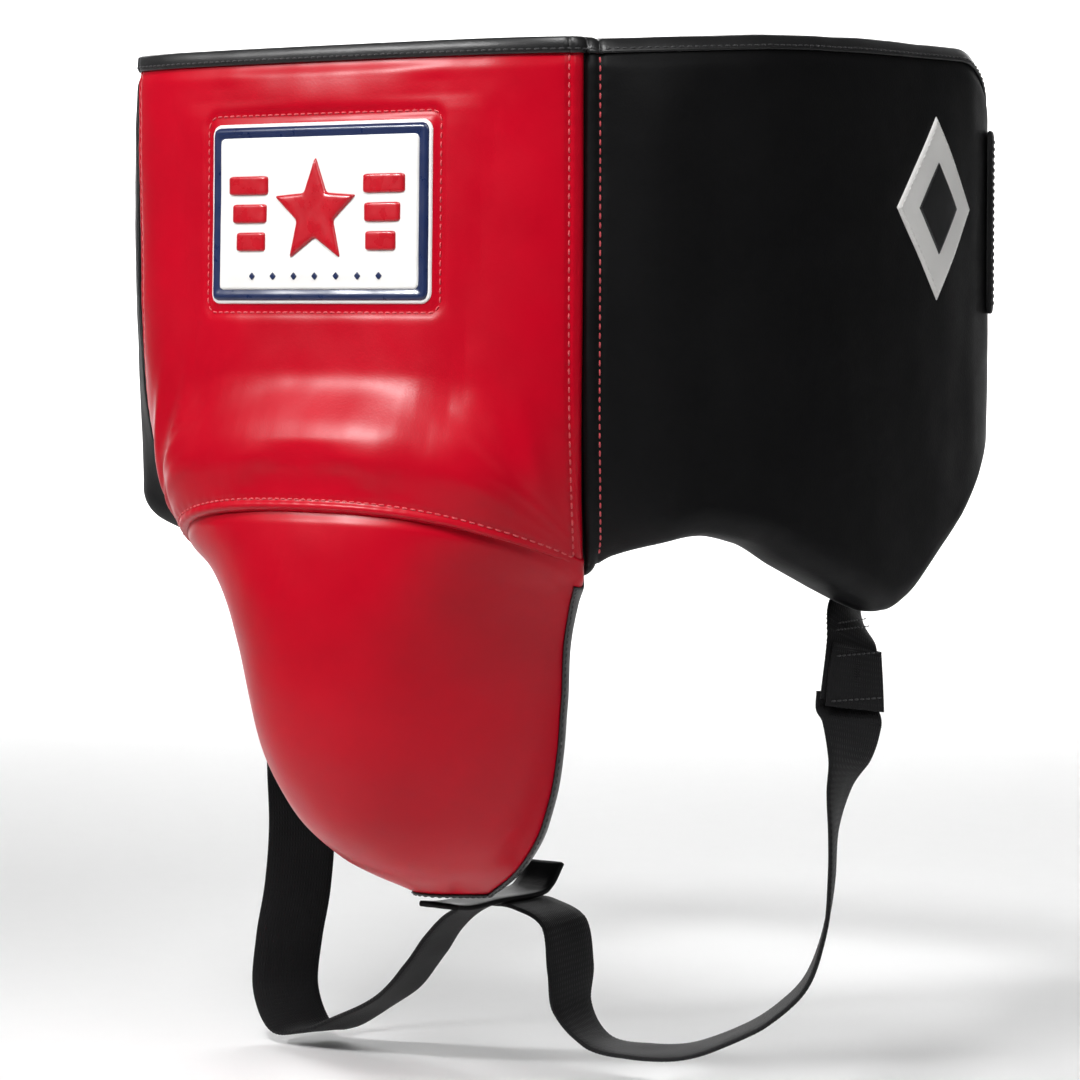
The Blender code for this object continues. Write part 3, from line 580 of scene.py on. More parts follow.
RED_THREAD = thread("red_thread", (0.55, 0.030, 0.045), (0.75, 0.110, 0.120))
BLACK_THREAD = thread("black_thread", (0.012, 0.012, 0.013), (0.04, 0.04, 0.042))
WHITE_THREAD = thread("white_thread", (0.72, 0.70, 0.68), (0.85, 0.84, 0.82))


# ------------------------------------------------------------------ fabric simulation
CLOTH_FRAMES = 20


def puffed(outer, inner, most, pressure=4.0, stride=5):
    """How far leather over foam swells from `outer`, found by a short cloth simulation.

    The pad is simulated on a coarse copy of its grid with its border and back held, and the
    swelling along the normals is read back onto the fine grid, never above `most`.
    """
    n, m = outer.points.shape[:2]
    rows = np.unique(np.append(np.arange(0, n, stride), n - 1))
    columns = np.unique(np.append(np.arange(0, m, stride), m - 1))
    coarse = outer.points[np.ix_(rows, columns)]
    back = inner[np.ix_(rows, columns)]
    obj = closed_pad("cloth_pad", coarse, back, RED, rings=1)
    count = len(rows) * len(columns)
    held = np.ones((len(rows), len(columns)), bool)
    held[1:-1, 1:-1] = False
    pinned = list(np.flatnonzero(held.ravel())) + list(range(count, len(obj.data.vertices)))
    group = obj.vertex_groups.new(name="held")
    group.add([int(v) for v in pinned], 1.0, "REPLACE")
    modifier = obj.modifiers.new("cloth", "CLOTH")
    settings = modifier.settings
    settings.quality = 6
    settings.mass = 0.4
    settings.tension_stiffness = 30
    settings.compression_stiffness = 30
    settings.shear_stiffness = 12
    settings.bending_stiffness = 4
    settings.use_pressure = True
    settings.uniform_pressure_force = pressure
    settings.vertex_group_mass = "held"
    settings.effector_weights.gravity = 0.0
    modifier.collision_settings.use_collision = False
    modifier.point_cache.frame_start = 1
    modifier.point_cache.frame_end = CLOTH_FRAMES
    scene = bpy.context.scene
    for step in range(1, CLOTH_FRAMES + 1):
        scene.frame_set(step)
    evaluated = obj.evaluated_get(bpy.context.evaluated_depsgraph_get())
    co = np.zeros(len(evaluated.data.vertices) * 3)
    evaluated.data.vertices.foreach_get("co", co)
    swollen = co.reshape(-1, 3)[:count].reshape(len(rows), len(columns), 3)
    scene.frame_set(1)
    bpy.data.objects.remove(obj)
    rise = ((swollen - coarse) * outer.normals[np.ix_(rows, columns)]).sum(-1)
    rise = most * np.tanh(np.clip(rise, 0, None) / most)
    across = np.stack([np.interp(np.arange(m), columns, line) for line in rise])
    return np.stack([np.interp(np.arange(n), rows, across[:, k]) for k in range(m)], -1)


# ------------------------------------------------------------------ grids and edges
def bunched(count, low=-1.0, high=1.0, share=0.45):
    """Even steps, drawn closer together towards both ends."""
    t = np.linspace(-1, 1, count)
    t = (1 - share) * t + share * np.sin(t * math.pi / 2)
    return low + (high - low) * (t + 1) / 2


def rolled(distance, radius, drop):
    """How far a round edge has dropped at a distance from the outline."""
    t = 1 - np.clip(distance / radius, 0.0, 1.0)
    return drop * (1 - np.sqrt(np.clip(1 - t * t, 0, 1)))


def column_runs(points):
    return np.stack([lengths(column) for column in points])


def sewn(distance, run, at, pull=0.0007, pitch=7.0, seed=0.0):
    """The dip a row of stitches pulls in the leather, with the puckers beside it."""
    groove = -pull * bump(distance - at, 0.0011)
    phase = run * 1000 * 2 * math.pi / pitch + 1.3 * np.sin(run * 61 + seed)
    pucker = 0.00011 * np.sin(phase) * bump(distance - at, 0.0032)
    return groove + pucker


def path_on(surface, i, j):
    return surface.read(np.asarray(i, float), np.asarray(j, float))


def red_row(name, surface, i, j, body, finish=None, **options):
    """A row of stitches along grid coordinates of a surface, riding on a body when one is named, else
    left fixed in place.
    """
    points, normals = path_on(surface, i, j)
    row = stitches(name, points, normals, finish or RED_THREAD, **options)
    if isinstance(body, str):
        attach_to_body(row, body)
    else:
        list(body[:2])
        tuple(body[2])
        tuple(body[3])
        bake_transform(row)
    return row


# ------------------------------------------------------------------ abdomen panel
SEAM_STITCH = 0.0062      # from a seam to the stitches beside it
LIP_STITCH = 0.0050
BADGE_X, BADGE_Z = -0.0020, 0.0052
BADGE_HALF = (0.0590, 0.0365)

panel_shares = bunched(201) * 0.9985
panel_stations = bunched(131, 0.0, 0.9985, 0.35)
panel_base, panel_half = front_sheet(panel_shares, panel_stations)
panel_thick = front_thickness(panel_stations)[None, :]
side_gap = (1 - np.abs(panel_shares))[:, None] * panel_half[None, :]
panel_run = column_runs(panel_base.points)
from_top = panel_run
from_lip = panel_run[:, -1:] - panel_run
px, pz = panel_base.points[..., 0], panel_base.points[..., 2]
inner_panel = panel_base.points - panel_base.normals * (panel_thick - 0.0013)[..., None]

swell = puffed(panel_base, inner_panel, 0.0030)
across_run = np.concatenate([[0.0], np.cumsum(np.abs(np.diff(panel_shares)))])[:, None] * panel_half
relief = swell * step01(side_gap / 0.020) * step01(from_lip / 0.012) * step01(from_top / 0.024)
relief += 0.0006 * noise_field(panel_base.points, 19.0, 3.0)
relief += 0.00022 * noise_field(panel_base.points, 62.0, 9.0)
# The belly: an arch that follows the lip, with a steep upper side and a long fall to the lip
arch = from_lip - 0.0230
arch_fade = step01((side_gap - 0.010) / 0.040)
relief += 0.0058 * arch_fade * np.where(arch > 0, 1 - step01(arch / 0.038),
                                        1 - 0.7 * step01(-arch / 0.023))
relief -= 0.0008 * bump(px, 0.075) * bump(from_lip - 0.012, 0.007)
# Folds drawn into each lower seam end, beside the lip, and one that climbs the belly's side
for sign, strength in ((-1, 1.0), (1, 0.45)):
    beside = np.where(np.sign(px) == sign, side_gap, 1.0)
    fade = np.exp(-beside / 0.030) * step01((beside - 0.002) / 0.008) * strength
    for slope, start, height in ((0.10, 0.0045, 0.0011), (0.30, 0.0060, 0.0013),
                                 (0.55, 0.0080, 0.0015)):
        width = 0.0013 + 0.05 * beside
        at = start + slope * beside
        relief += height * fade * (bump(from_lip - at, width)
                                   - 0.8 * bump(from_lip - at - 1.9 * width, width))
    climb = beside - 0.0125 - 0.22 * from_lip
    tall = step01((from_lip - 0.006) / 0.02) * (1 - step01((from_lip - 0.045) / 0.04))
    relief += 0.0016 * strength * tall * bump(climb, 0.0055)
    relief -= 0.0012 * strength * tall * bump(climb - 0.012, 0.0060)
# A rolled lip over the cup, round seams, and a flat where the binding grips the top
relief += 0.0008 * bump(from_lip - 0.0020, 0.0020) * step01((side_gap - 0.006) / 0.035)
relief += sewn(from_lip, across_run, LIP_STITCH, 0.0006, seed=1.0)
relief += sewn(side_gap, panel_run, SEAM_STITCH, 0.0008, seed=2.0)
badge_dx = np.abs(px - BADGE_X) - BADGE_HALF[0]
badge_dz = np.abs(pz - BADGE_Z) - BADGE_HALF[1]
badge_gap = np.hypot(np.maximum(badge_dx, 0), np.maximum(badge_dz, 0))
badge_gap += np.minimum(np.maximum(badge_dx, badge_dz), 0)
relief -= 0.0009 * bump(badge_gap - 0.0045, 0.0022)
relief -= rolled(side_gap, 0.0060, 0.0042) + rolled(from_lip, 0.0028, 0.0026)
relief -= 0.0009 * (1 - step01((from_top - 0.0055) / 0.006))
panel = panel_base.moved(relief).refreshed(flip=True)
wear = np.clip(bump(from_lip - 0.003, 0.003) * 0.5 + 0.3 * bump(side_gap - 0.002, 0.002), 0, 1)
panel_pad = closed_pad("front_panel", panel.points, inner_panel, RED, bulge=0.0006, rings=3,
                       wear=wear, flip=True)
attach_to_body(panel_pad, "front")
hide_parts("front_cover", "front_foam_firm", "front_foam_soft")


def body_skin(name, base, near, far, finish, body, node, flip=False):
    """The lining against the body: a thin quilted skin at the back of a pad."""
    wave = 0.00035 * noise_field(base.points, 34.0, 21.0)
    front = base.points - base.normals * (near + wave)[..., None]
    back = base.points - base.normals * (far + wave)[..., None]
    made = closed_pad(name, back, front, finish, rings=1, flip=not flip)
    if isinstance(body, str):
        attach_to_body(made, body)
    else:
        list(body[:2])
        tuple(body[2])
        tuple(body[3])
        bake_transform(made)
    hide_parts(node)
    return made


body_skin("front_panel_lining", panel_base, panel_thick - 0.0012, panel_thick, LINING, "front",
          "front_lining", flip=True)

# The turned-in edges that close each side seam, and the stitches beside it
SEAM_CORD_RADIUS = 0.0050
SEAM_CORD_DEPTH = 0.0092
SEAM_TAPE_HALF = (0.0016, 0.0044)
rows = np.arange(6, len(panel_stations) - 4)
for hand, sign in (("left", 1), ("right", -1)):
    edge = 0 if sign < 0 else len(panel_shares) - 1
    line = panel_base.points[edge] - panel_base.normals[edge] * SEAM_CORD_DEPTH
    line = line[3:]
    turn = np.linspace(0, 2 * math.pi, 13)[:-1]
    run_dir = unit(np.gradient(line, axis=0))
    outward = panel_base.normals[edge][3:]
    cross = np.cross(run_dir, outward)
    tube = [line + outward * math.cos(a) * SEAM_CORD_RADIUS + cross * math.sin(a)
            * SEAM_CORD_RADIUS * 0.8 for a in turn]
    cord = sweep("side_seam_" + hand, np.stack(tube, 1), BLACK)
    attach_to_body(cord, "front")
    inside = panel_base.points[edge] - panel_base.normals[edge] * (panel_thick[0][:, None] - 0.0010)
    inside = inside[3:]
    tube = [inside + outward * math.cos(a) * SEAM_TAPE_HALF[0] + cross * math.sin(a)
            * SEAM_TAPE_HALF[1] for a in turn]
    tape = sweep("side_seam_tape_" + hand, np.stack(tube, 1), LINING)
    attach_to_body(tape, "front")
    share = sign * (1 - SEAM_STITCH / panel_half[rows])
    red_row(f"seam_stitches_front_{hand}", panel, np.interp(share, panel_shares,
            np.arange(len(panel_shares))), rows, "front")
columns = np.arange(7, len(panel_shares) - 7)
lip_row = [np.interp(LIP_STITCH, from_lip[i][::-1], np.arange(len(panel_stations))[::-1])
           for i in columns]
red_row("lip_stitches", panel, columns, np.array(lip_row), "front")


# ------------------------------------------------------------------ reading a place on the panel
def on_panel(x, z, lift=0.0):
    """Points on the finished panel at widths x and heights z, raised by lift."""
    x, z = np.atleast_1d(np.asarray(x, float)), np.atleast_1d(np.asarray(z, float))
    grid = panel.points
    j = np.interp(-z, -grid[len(grid) // 2, :, 2], np.arange(grid.shape[1]))
    i = np.full(x.shape, len(grid) / 2)
    for _ in range(4):
        low = j.astype(int).clip(0, grid.shape[1] - 2)
        part = (j - low)[..., None]
        lines = grid[:, low] * (1 - part) + grid[:, low + 1] * part
        i = np.array([np.interp(value, lines[:, k, 0], np.arange(len(grid)))
                      for k, value in enumerate(x)])
        low = i.astype(int).clip(0, len(grid) - 2)
        part = (i - low)[..., None, None]
        lines = grid[low] * (1 - part) + grid[low + 1] * part
        j = np.array([np.interp(-value, -lines[k, :, 2], np.arange(grid.shape[1]))
                      for k, value in enumerate(z)])
    points, normals = panel.read(i, j)
    return points + normals * np.reshape(lift, (-1, 1)), normals


def rounded_square(p, q, half_x, half_z, radius):
    """Grid coordinates -1 to 1 mapped to a rectangle with round corners."""
    x, z = p * half_x, q * half_z
    a = np.clip((np.abs(x) - (half_x - radius)) / radius, 0, 1)
    b = np.clip((np.abs(z) - (half_z - radius)) / radius, 0, 1)
    round_x = (half_x - radius) + radius * a * np.sqrt(1 - b * b / 2)
    round_z = (half_z - radius) + radius * b * np.sqrt(1 - a * a / 2)
    x = np.where(a > 0, np.sign(x) * round_x, x)
    z = np.where(b > 0, np.sign(z) * round_z, z)
    return x, z


BADGE_BED = 0.0001


def badge_sheet(name, centre, half, radius, near, thickness, finish, dome, rim, n=81, m=57):
    """A soft moulded plate on the panel: domed, with an optional raised rim."""
    p, q = np.meshgrid(bunched(n), bunched(m), indexing="ij")
    x, z = rounded_square(p, q, half[0], half[1], radius)
    edge = np.minimum((1 - np.abs(p)) * half[0], (1 - np.abs(q)) * half[1])
    flat, normals = on_panel((x + centre[0]).ravel(), (z + centre[1]).ravel())
    flat, normals = flat.reshape(n, m, 3), normals.reshape(n, m, 3)
    height = near + thickness + dome * step01(edge / 0.008)
    height = height + rim * bump(edge - 0.0022, 0.0016) - rolled(edge, 0.0009, thickness * 0.7)
    top = flat + normals * height[..., None]
    bottom = flat + normals * (near - 0.0008)
    made = closed_pad(name, top, bottom, finish, rings=1, flip=True)
    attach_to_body(made, "front")
    return made


badge = badge_sheet("badge_frame", (BADGE_X, BADGE_Z), BADGE_HALF, 0.0040, BADGE_BED, 0.0010, NAVY,
                    0.0, 0.0007)
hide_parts("badge_backing")
keyline = badge_sheet("badge_keyline", (BADGE_X, BADGE_Z),
                      (BADGE_HALF[0] + 0.0012, BADGE_HALF[1] + 0.0012), 0.0048, BADGE_BED,
                      0.0006, WHITE, 0.0, 0.0)
field_half = (BADGE_HALF[0] - 0.0046, BADGE_HALF[1] - 0.0046)
field = badge_sheet("badge_white_field", (BADGE_X, BADGE_Z), field_half, 0.0026, BADGE_BED + 0.0007,
                    0.0010, WHITE, 0.0005, 0.0)
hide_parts("badge_field")

FIELD_TOP = BADGE_BED + 0.0007 + 0.0010 + 0.0005


def puffed_shape(name, outline, centre, height, finish, node=None):
    """A plump raised shape on the badge, from its outline round a centre."""
    outline = np.array(outline)
    scale = np.array([1.0, 1.0, 0.97, 0.90, 0.78, 0.6, 0.35])
    lift = np.array([-0.0009, 0.0, 0.55, 0.85, 0.97, 1.0, 1.02])
    count = len(outline)
    rings = [centre + outline * s for s in scale]
    flat = np.vstack(rings + [np.array([centre])])
    heights = np.concatenate([np.full(count, FIELD_TOP - 0.0009)]
                             + [np.full(count, FIELD_TOP + value * height) for value in lift[1:]]
                             + [[FIELD_TOP + 1.02 * height]])
    points, _ = on_panel(flat[:, 0], flat[:, 1], heights)
    faces = []
    for r in range(len(scale) - 1):
        for k in range(count):
            j = (k + 1) % count
            faces.append((r * count + k, r * count + j, (r + 1) * count + j, (r + 1) * count + k))
    last, tip = (len(scale) - 1) * count, len(scale) * count
    faces += [(last + k, last + (k + 1) % count, tip) for k in range(count)]
    faces.append(tuple(reversed(range(count))))
    made = mesh_object(name, points, faces, finish)
    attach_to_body(made, "front")
    if node:
        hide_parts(node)
    return made


def star_outline(radius, waist, samples=12):
    corners = []
    for k in range(10):
        reach = radius if k % 2 == 0 else radius * waist
        angle = math.pi / 2 + k * math.pi / 5
        corners.append((reach * math.cos(angle), reach * math.sin(angle)))
    return soft_outline(corners, samples, 0.10)


def soft_outline(corners, samples, soften):
    """An outline through corners, each rounded over a share of its sides."""
    corners = np.array(corners)
    out = []
    for k in range(len(corners)):
        before, here, after = corners[k - 1], corners[k], corners[(k + 1) % len(corners)]
        a, b = here + (before - here) * soften, here + (after - here) * soften
        for t in np.linspace(0, 1, 5):
            out.append(a * (1 - t) ** 2 + here * 2 * t * (1 - t) + b * t * t)
        for t in np.linspace(0, 1, samples // 3 + 2)[1:-1]:
            out.append(b + (after + (here - after) * soften - b) * t)
    return out


puffed_shape("badge_emblem_star", star_outline(0.0235, 0.44), (BADGE_X, BADGE_Z), 0.0013, RED_VINYL,
             "badge_star")
for hand, sign in (("left", 1), ("right", -1)):
    for step, (length, rise) in enumerate(((0.0110, 0.0118), (0.0095, 0.0), (0.0080, -0.0118))):
        corners = [(length, 0.0040), (-length, 0.0040), (-length, -0.0040), (length, -0.0040)]
        centre = (BADGE_X + sign * (0.0370 - 0.0008 * step), BADGE_Z + rise)
        puffed_shape(f"badge_emblem_bar_{hand}_{step + 1}", soft_outline(corners, 9, 0.14), centre,
                     0.0011, RED_VINYL, f"badge_bar_{hand}" if step == 0 else None)
for k in range(7):
    corners = [(0.0017, 0.0), (0.0, 0.0017), (-0.0017, 0.0), (0.0, -0.0017)]
    centre = (BADGE_X + (k - 3) * 0.0115, BADGE_Z - 0.0262)
    puffed_shape(f"badge_dot_{k + 1}", soft_outline(corners, 3, 0.2), centre, 0.0003, NAVY)

corner_turn = np.linspace(0, math.pi / 2, 7)
stitch_half = (BADGE_HALF[0] + 0.0048, BADGE_HALF[1] + 0.0048)
ring = []
for quarter, (sx, sz) in enumerate(((1, 1), (-1, 1), (-1, -1), (1, -1))):
    turn = corner_turn + quarter * math.pi / 2
    ring += [(sx * (stitch_half[0] - 0.005) + 0.005 * math.cos(a),
              sz * (stitch_half[1] - 0.005) + 0.005 * math.sin(a)) for a in turn]
ring = np.array(ring + ring[:1])
ring_run = lengths(ring)
even = np.linspace(0, ring_run[-1], 240)
ring = np.stack([np.interp(even, ring_run, ring[:, k]) for k in range(2)], -1)
ring_points, ring_normals = on_panel(ring[:, 0] + BADGE_X, ring[:, 1] + BADGE_Z)
badge_stitches = stitches("badge_stitches", ring_points, ring_normals, RED_THREAD)
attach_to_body(badge_stitches, "front")


# ------------------------------------------------------------------ cup
cup_shares = bunched(151)
cup_stations = np.concatenate([np.linspace(0.975, 1.0, 6)[:-1], bunched(150, 1.0, 2.0, 0.3)])
cup_base, cup_half = front_sheet(cup_shares, cup_stations)
cup_thick = front_thickness(cup_stations)[None, :]
cup_side = (1 - np.abs(cup_shares))[:, None] * cup_half[None, :]
cup_run = column_runs(cup_base.points)
from_seam = cup_run - cup_run[:, 5:6]
from_tip = cup_run[:, -1:] - cup_run
inner_cup = cup_base.points - cup_base.normals * (cup_thick - 0.0011)[..., None]
# The cup swells by less than 0.1 mm, so its form comes from cup_base and the relief below.
cup_swell = puffed(cup_base, inner_cup, 0.0022)
cup_relief = cup_swell * step01(cup_side / 0.016) * step01(from_seam / 0.02)
cup_relief *= step01(from_tip / 0.012)
cup_relief += 0.0005 * noise_field(cup_base.points, 21.0, 5.0)
cup_relief += 0.00018 * noise_field(cup_base.points, 66.0, 15.0)
step_fade = 0.25 + 0.75 * step01((cup_side - 0.004) / 0.032)
cup_relief -= 0.0010 * step_fade * (1 - step01((from_seam + 0.0008) / 0.0055))
cup_relief -= rolled(cup_side, 0.0060, cup_thick * 0.12)
cup_relief -= rolled(from_tip, 0.0070, 0.0012)
cup = cup_base.moved(cup_relief).refreshed(flip=True)
cup_wear = 0.35 * bump(from_tip, 0.012) + 0.15 * bump(cup_side - 0.007, 0.004)
cup_pad = closed_pad("cup_panel", cup.points, inner_cup, RED, bulge=0.0003, rings=2,
                     wear=cup_wear, flip=True)
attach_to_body(cup_pad, "front")
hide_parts("cup_cover", "cup_foam", "groin_cup", "cup_cushion")
body_skin("cup_panel_lining", cup_base, cup_thick - 0.0010, cup_thick, LINING, "front",
          "cup_lining", flip=True)


def tape_over(out_hem, out_edge, in_edge, in_hem, thick, out_normal):
    """Rings for a tape folded over a pad's edge: each argument is a line of points."""
    away = unit(out_edge - out_hem)
    back = unit(in_edge - out_edge)
    away = unit(away - back * (away * back).sum(-1, keepdims=True))
    n = out_normal
    mid_out = (out_hem + out_edge) / 2
    mid_in = (in_hem + in_edge) / 2
    wall_mid = (in_edge + out_edge) / 2
    rings = [out_hem + n * thick * 0.15, out_hem + n * thick * 0.95,
             out_hem * 0.85 + out_edge * 0.15 + n * thick * 1.15, mid_out + n * thick * 1.25,
             out_edge + n * thick * 1.05 + away * thick * 0.30,
             out_edge + n * thick * 0.35 + away * thick * 0.95, wall_mid + away * thick * 1.25,
             in_edge - n * thick * 0.35 + away * thick * 0.95,
             in_edge - n * thick * 1.05 + away * thick * 0.30, mid_in - n * thick * 1.1,
             in_hem - n * thick * 0.95, in_hem - n * thick * 0.1, in_edge - n * thick * 0.05,
             out_edge]
    return np.stack(rings, 1)


# The tape round the cup's open edge
HEM = 0.0050
start_row = int(np.searchsorted(cup_stations, 1.05))
last_row = len(cup_stations) - 1
side_rows = np.arange(start_row, last_row - 3)
edge_i = np.concatenate([np.zeros(len(side_rows)), np.arange(4, len(cup_shares) - 4, 2),
                         np.full(len(side_rows), len(cup_shares) - 1)])
edge_j = np.concatenate([side_rows, np.full(len(edge_i) - 2 * len(side_rows), last_row),
                         side_rows[::-1]])
hem_i, hem_j = edge_i.copy(), edge_j.astype(float).copy()
index_of_share = lambda share: np.interp(share, cup_shares, np.arange(len(cup_shares)))
for k in range(len(edge_i)):
    if edge_j[k] == last_row:
        column = int(edge_i[k])
        hem_j[k] = np.interp(-HEM, -from_tip[column], np.arange(len(cup_stations)))
    else:
        sign = 1 if edge_i[k] > 0 else -1
        hem_i[k] = index_of_share(sign * (1 - HEM / cup_half[int(edge_j[k])]))
cup_inner = Surface.with_normals(inner_cup - cup_base.normals * 0.0011, cup_base.normals)
out_edge, _ = cup.read(edge_i, edge_j.astype(float))
out_hem, out_normal = cup.read(hem_i, hem_j)
in_edge, _ = cup_inner.read(edge_i, edge_j.astype(float))
in_hem, _ = cup_inner.read(hem_i, hem_j)
cup_tape = sweep("cup_edge_tape", tape_over(out_hem, out_edge, in_edge, in_hem, 0.0011, out_normal),
                 TAPE)
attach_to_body(cup_tape, "front")
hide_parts("cup_binding")
share_in = 0.30
row_points = out_hem * (1 - share_in) + out_edge * share_in + out_normal * 0.0013
cup_row = stitches("cup_edge_stitches", row_points, out_normal, BLACK_THREAD, pitch=0.0032)
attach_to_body(cup_row, "front")


# ------------------------------------------------------------------ top binding, front
TOP_HEM = 0.0054


def top_tape(name, outer, inner, gaps, node, body, joined=None):
    """The binding folded over a pad's top edge; outer and inner hold the top row first."""
    count = outer.points.shape[0]
    hems = np.array([np.interp(TOP_HEM, gaps[i], np.arange(gaps.shape[1])) for i in range(count)])
    i = np.arange(count, dtype=float)
    zero = np.zeros(count)
    out_edge, _ = outer.read(i, zero)
    out_hem, normal = outer.read(i, hems)
    in_edge, _ = inner.read(i, zero)
    in_hem, _ = inner.read(i, hems)
    i[-1] = count - 1
    rings = tape_over(out_hem, out_edge, in_edge, in_hem, 0.0013, normal)
    if joined is not None:
        rings = np.concatenate([joined[None], rings[2:]])
    made = sweep(name, rings, TAPE)
    row = stitches(name + "_stitches", out_hem * 0.7 + out_edge * 0.3 + normal * 0.0015, normal,
                   BLACK_THREAD, pitch=0.0034)
    for obj in (made, row):
        if isinstance(body, str):
            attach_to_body(obj, body)
        else:
            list(body[:2])
            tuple(body[2])
            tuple(body[3])
            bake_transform(obj)
    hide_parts(node)
    return rings


panel_inner = Surface.with_normals(inner_panel - panel_base.normals * 0.0013, panel_base.normals)
front_rings = top_tape("top_tape_front", panel, panel_inner, from_top, "top_binding_front",
                       "front")


# ------------------------------------------------------------------ hip pads
hip_s = bunched(171, SEAM_S + 0.0004, HIP_END_S, 0.4)
hip_q = bunched(121, 1.0, 0.0, 0.5)
hip_s2, hip_q2 = np.meshgrid(hip_s, hip_q, indexing="ij")
low, high = hip_bottom(hip_s2), hip_top(hip_s2)
hip_z = low + (high - low) * hip_q2
seam_gap, rear_gap = hip_s2 - hip_s[0], HIP_END_S - hip_s2
top_gap, foot_gap = high - hip_z, hip_z - low
fullness = (roll(seam_gap, 0.016, 0.84) * roll(top_gap, 0.014, 0.80) * roll(foot_gap, 0.013, 0.35)
            * roll(rear_gap, 0.014, 0.25))
hip_depth = HIP_THICKNESS - np.maximum(HIP_THICKNESS * fullness, EDGE_THICKNESS)
flat_rear = step01((0.352 - hip_s2) / 0.03)
SEAM_LINE = (FRONT[0][1], FRONT[0][2], 0.0)
BELT_TURN = (0.158, -0.052, 0.0)


def mirrored(point, side):
    return (side * point[0], point[1], point[2])


def hip_pad(hand, side):
    body = ("front", "hip_" + hand, mirrored(SEAM_LINE, side), mirrored(BELT_TURN, side))
    flip = side > 0
    outside = Surface(hip_points(side, hip_s2, hip_z, np.zeros_like(hip_z)), flip=flip)
    shown = Surface(hip_points(side, hip_s2, hip_z, hip_depth), flip=flip)
    inside = hip_points(side, hip_s2, hip_z, np.full_like(hip_z, HIP_THICKNESS - 0.0013))
    swollen = puffed(shown, inside, 0.0024)
    relief = swollen * step01(seam_gap / 0.02) * step01(top_gap / 0.02) * step01(foot_gap / 0.014)
    relief *= flat_rear
    stretched = outside.points * np.array([1.0, 1.0, 0.32])
    relief += 0.00055 * noise_field(stretched, 38.0, 7.0 + side) * step01(foot_gap / 0.01)
    relief += 0.0005 * noise_field(outside.points, 15.0, 2.0 + side)
    relief += 0.00016 * noise_field(outside.points, 70.0, 4.0 + side)
    relief += sewn(seam_gap, hip_z, SEAM_STITCH, 0.0009, seed=3.0 + side)
    relief += 0.0008 * bump(seam_gap - 0.0025, 0.0022)
    relief += 0.0022 * bump(seam_gap - 0.030, 0.019) * step01(top_gap / 0.03)
    relief -= 0.0009 * (1 - step01((top_gap - 0.0055) / 0.006))
    pad = shown.moved(relief).refreshed(flip=flip)
    wear = 0.45 * bump(foot_gap - 0.004, 0.004) + 0.3 * bump(rear_gap - 0.004, 0.004)
    made = closed_pad("hip_panel_" + hand, pad.points, inside, BLACK, bulge=0.0004, rings=3,
                      wear=wear, flip=flip)
    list(body[:2])
    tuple(body[2])
    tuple(body[3])
    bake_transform(made)
    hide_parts("hip_cover_" + hand, "hip_foam_" + hand)
    back = Surface.with_normals(outside.points,
                                unit(outside.points - hip_points(side, hip_s2, hip_z,
                                                                 np.full_like(hip_z, 0.01))))
    body_skin("hip_panel_lining_" + hand, back, np.full_like(hip_z, HIP_THICKNESS - 0.0012),
              np.full_like(hip_z, HIP_THICKNESS), LINING, body, "hip_lining_" + hand, flip=flip)
    rows = np.arange(6, len(hip_q) - 5)
    column = np.interp(hip_s[0] + SEAM_STITCH, hip_s, np.arange(len(hip_s)))
    red_row("seam_stitches_hip_" + hand, pad, np.full(len(rows), column), rows, body)
    count = int(np.searchsorted(hip_s, HIP_END_S - 0.012))
    inner = Surface.with_normals(hip_points(side, hip_s2, hip_z,
                                            np.full_like(hip_z, HIP_THICKNESS)), outside.normals)
    part = lambda surface: Surface.with_normals(surface.points[:count], surface.normals[:count])
    top_tape("top_tape_" + hand, part(pad), part(inner), top_gap[:count], "top_binding_" + hand,
             body, front_rings[-1 if side > 0 else 0])
    return pad


hips = {"left": hip_pad("left", 1), "right": hip_pad("right", -1)}


def on_hip(pad, s, z):
    i = np.interp(s, hip_s, np.arange(len(hip_s)))
    share = (z - hip_bottom(s)) / (hip_top(s) - hip_bottom(s))
    j = np.interp(-share, -hip_q, np.arange(len(hip_q)))
    return pad.read(i, j)


PATCH_S, PATCH_Z = 0.316, 0.008
PATCH_HALF = (0.031, 0.039)


def diamond(name, hand, side, half, near, thick, finish, node, n=33):
    """A sewn-on diamond, rounded at its edge."""
    p, q = np.meshgrid(bunched(n), bunched(n), indexing="ij")
    s = PATCH_S + (p - q) / 2 * half[0]
    z = PATCH_Z + (p + q) / 2 * half[1]
    edge = np.minimum(1 - np.abs(p), 1 - np.abs(q)) * half[0] * 0.6
    flat, normals = on_hip(hips[hand], s, z)
    top = flat + normals * (near + thick - rolled(edge, 0.0010, thick * 0.7))[..., None]
    bottom = flat + normals * (near - 0.0004)
    made = closed_pad(name, top, bottom, finish, rings=1, flip=side > 0)
    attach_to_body(made, "hip_" + hand)
    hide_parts(node)
    return made


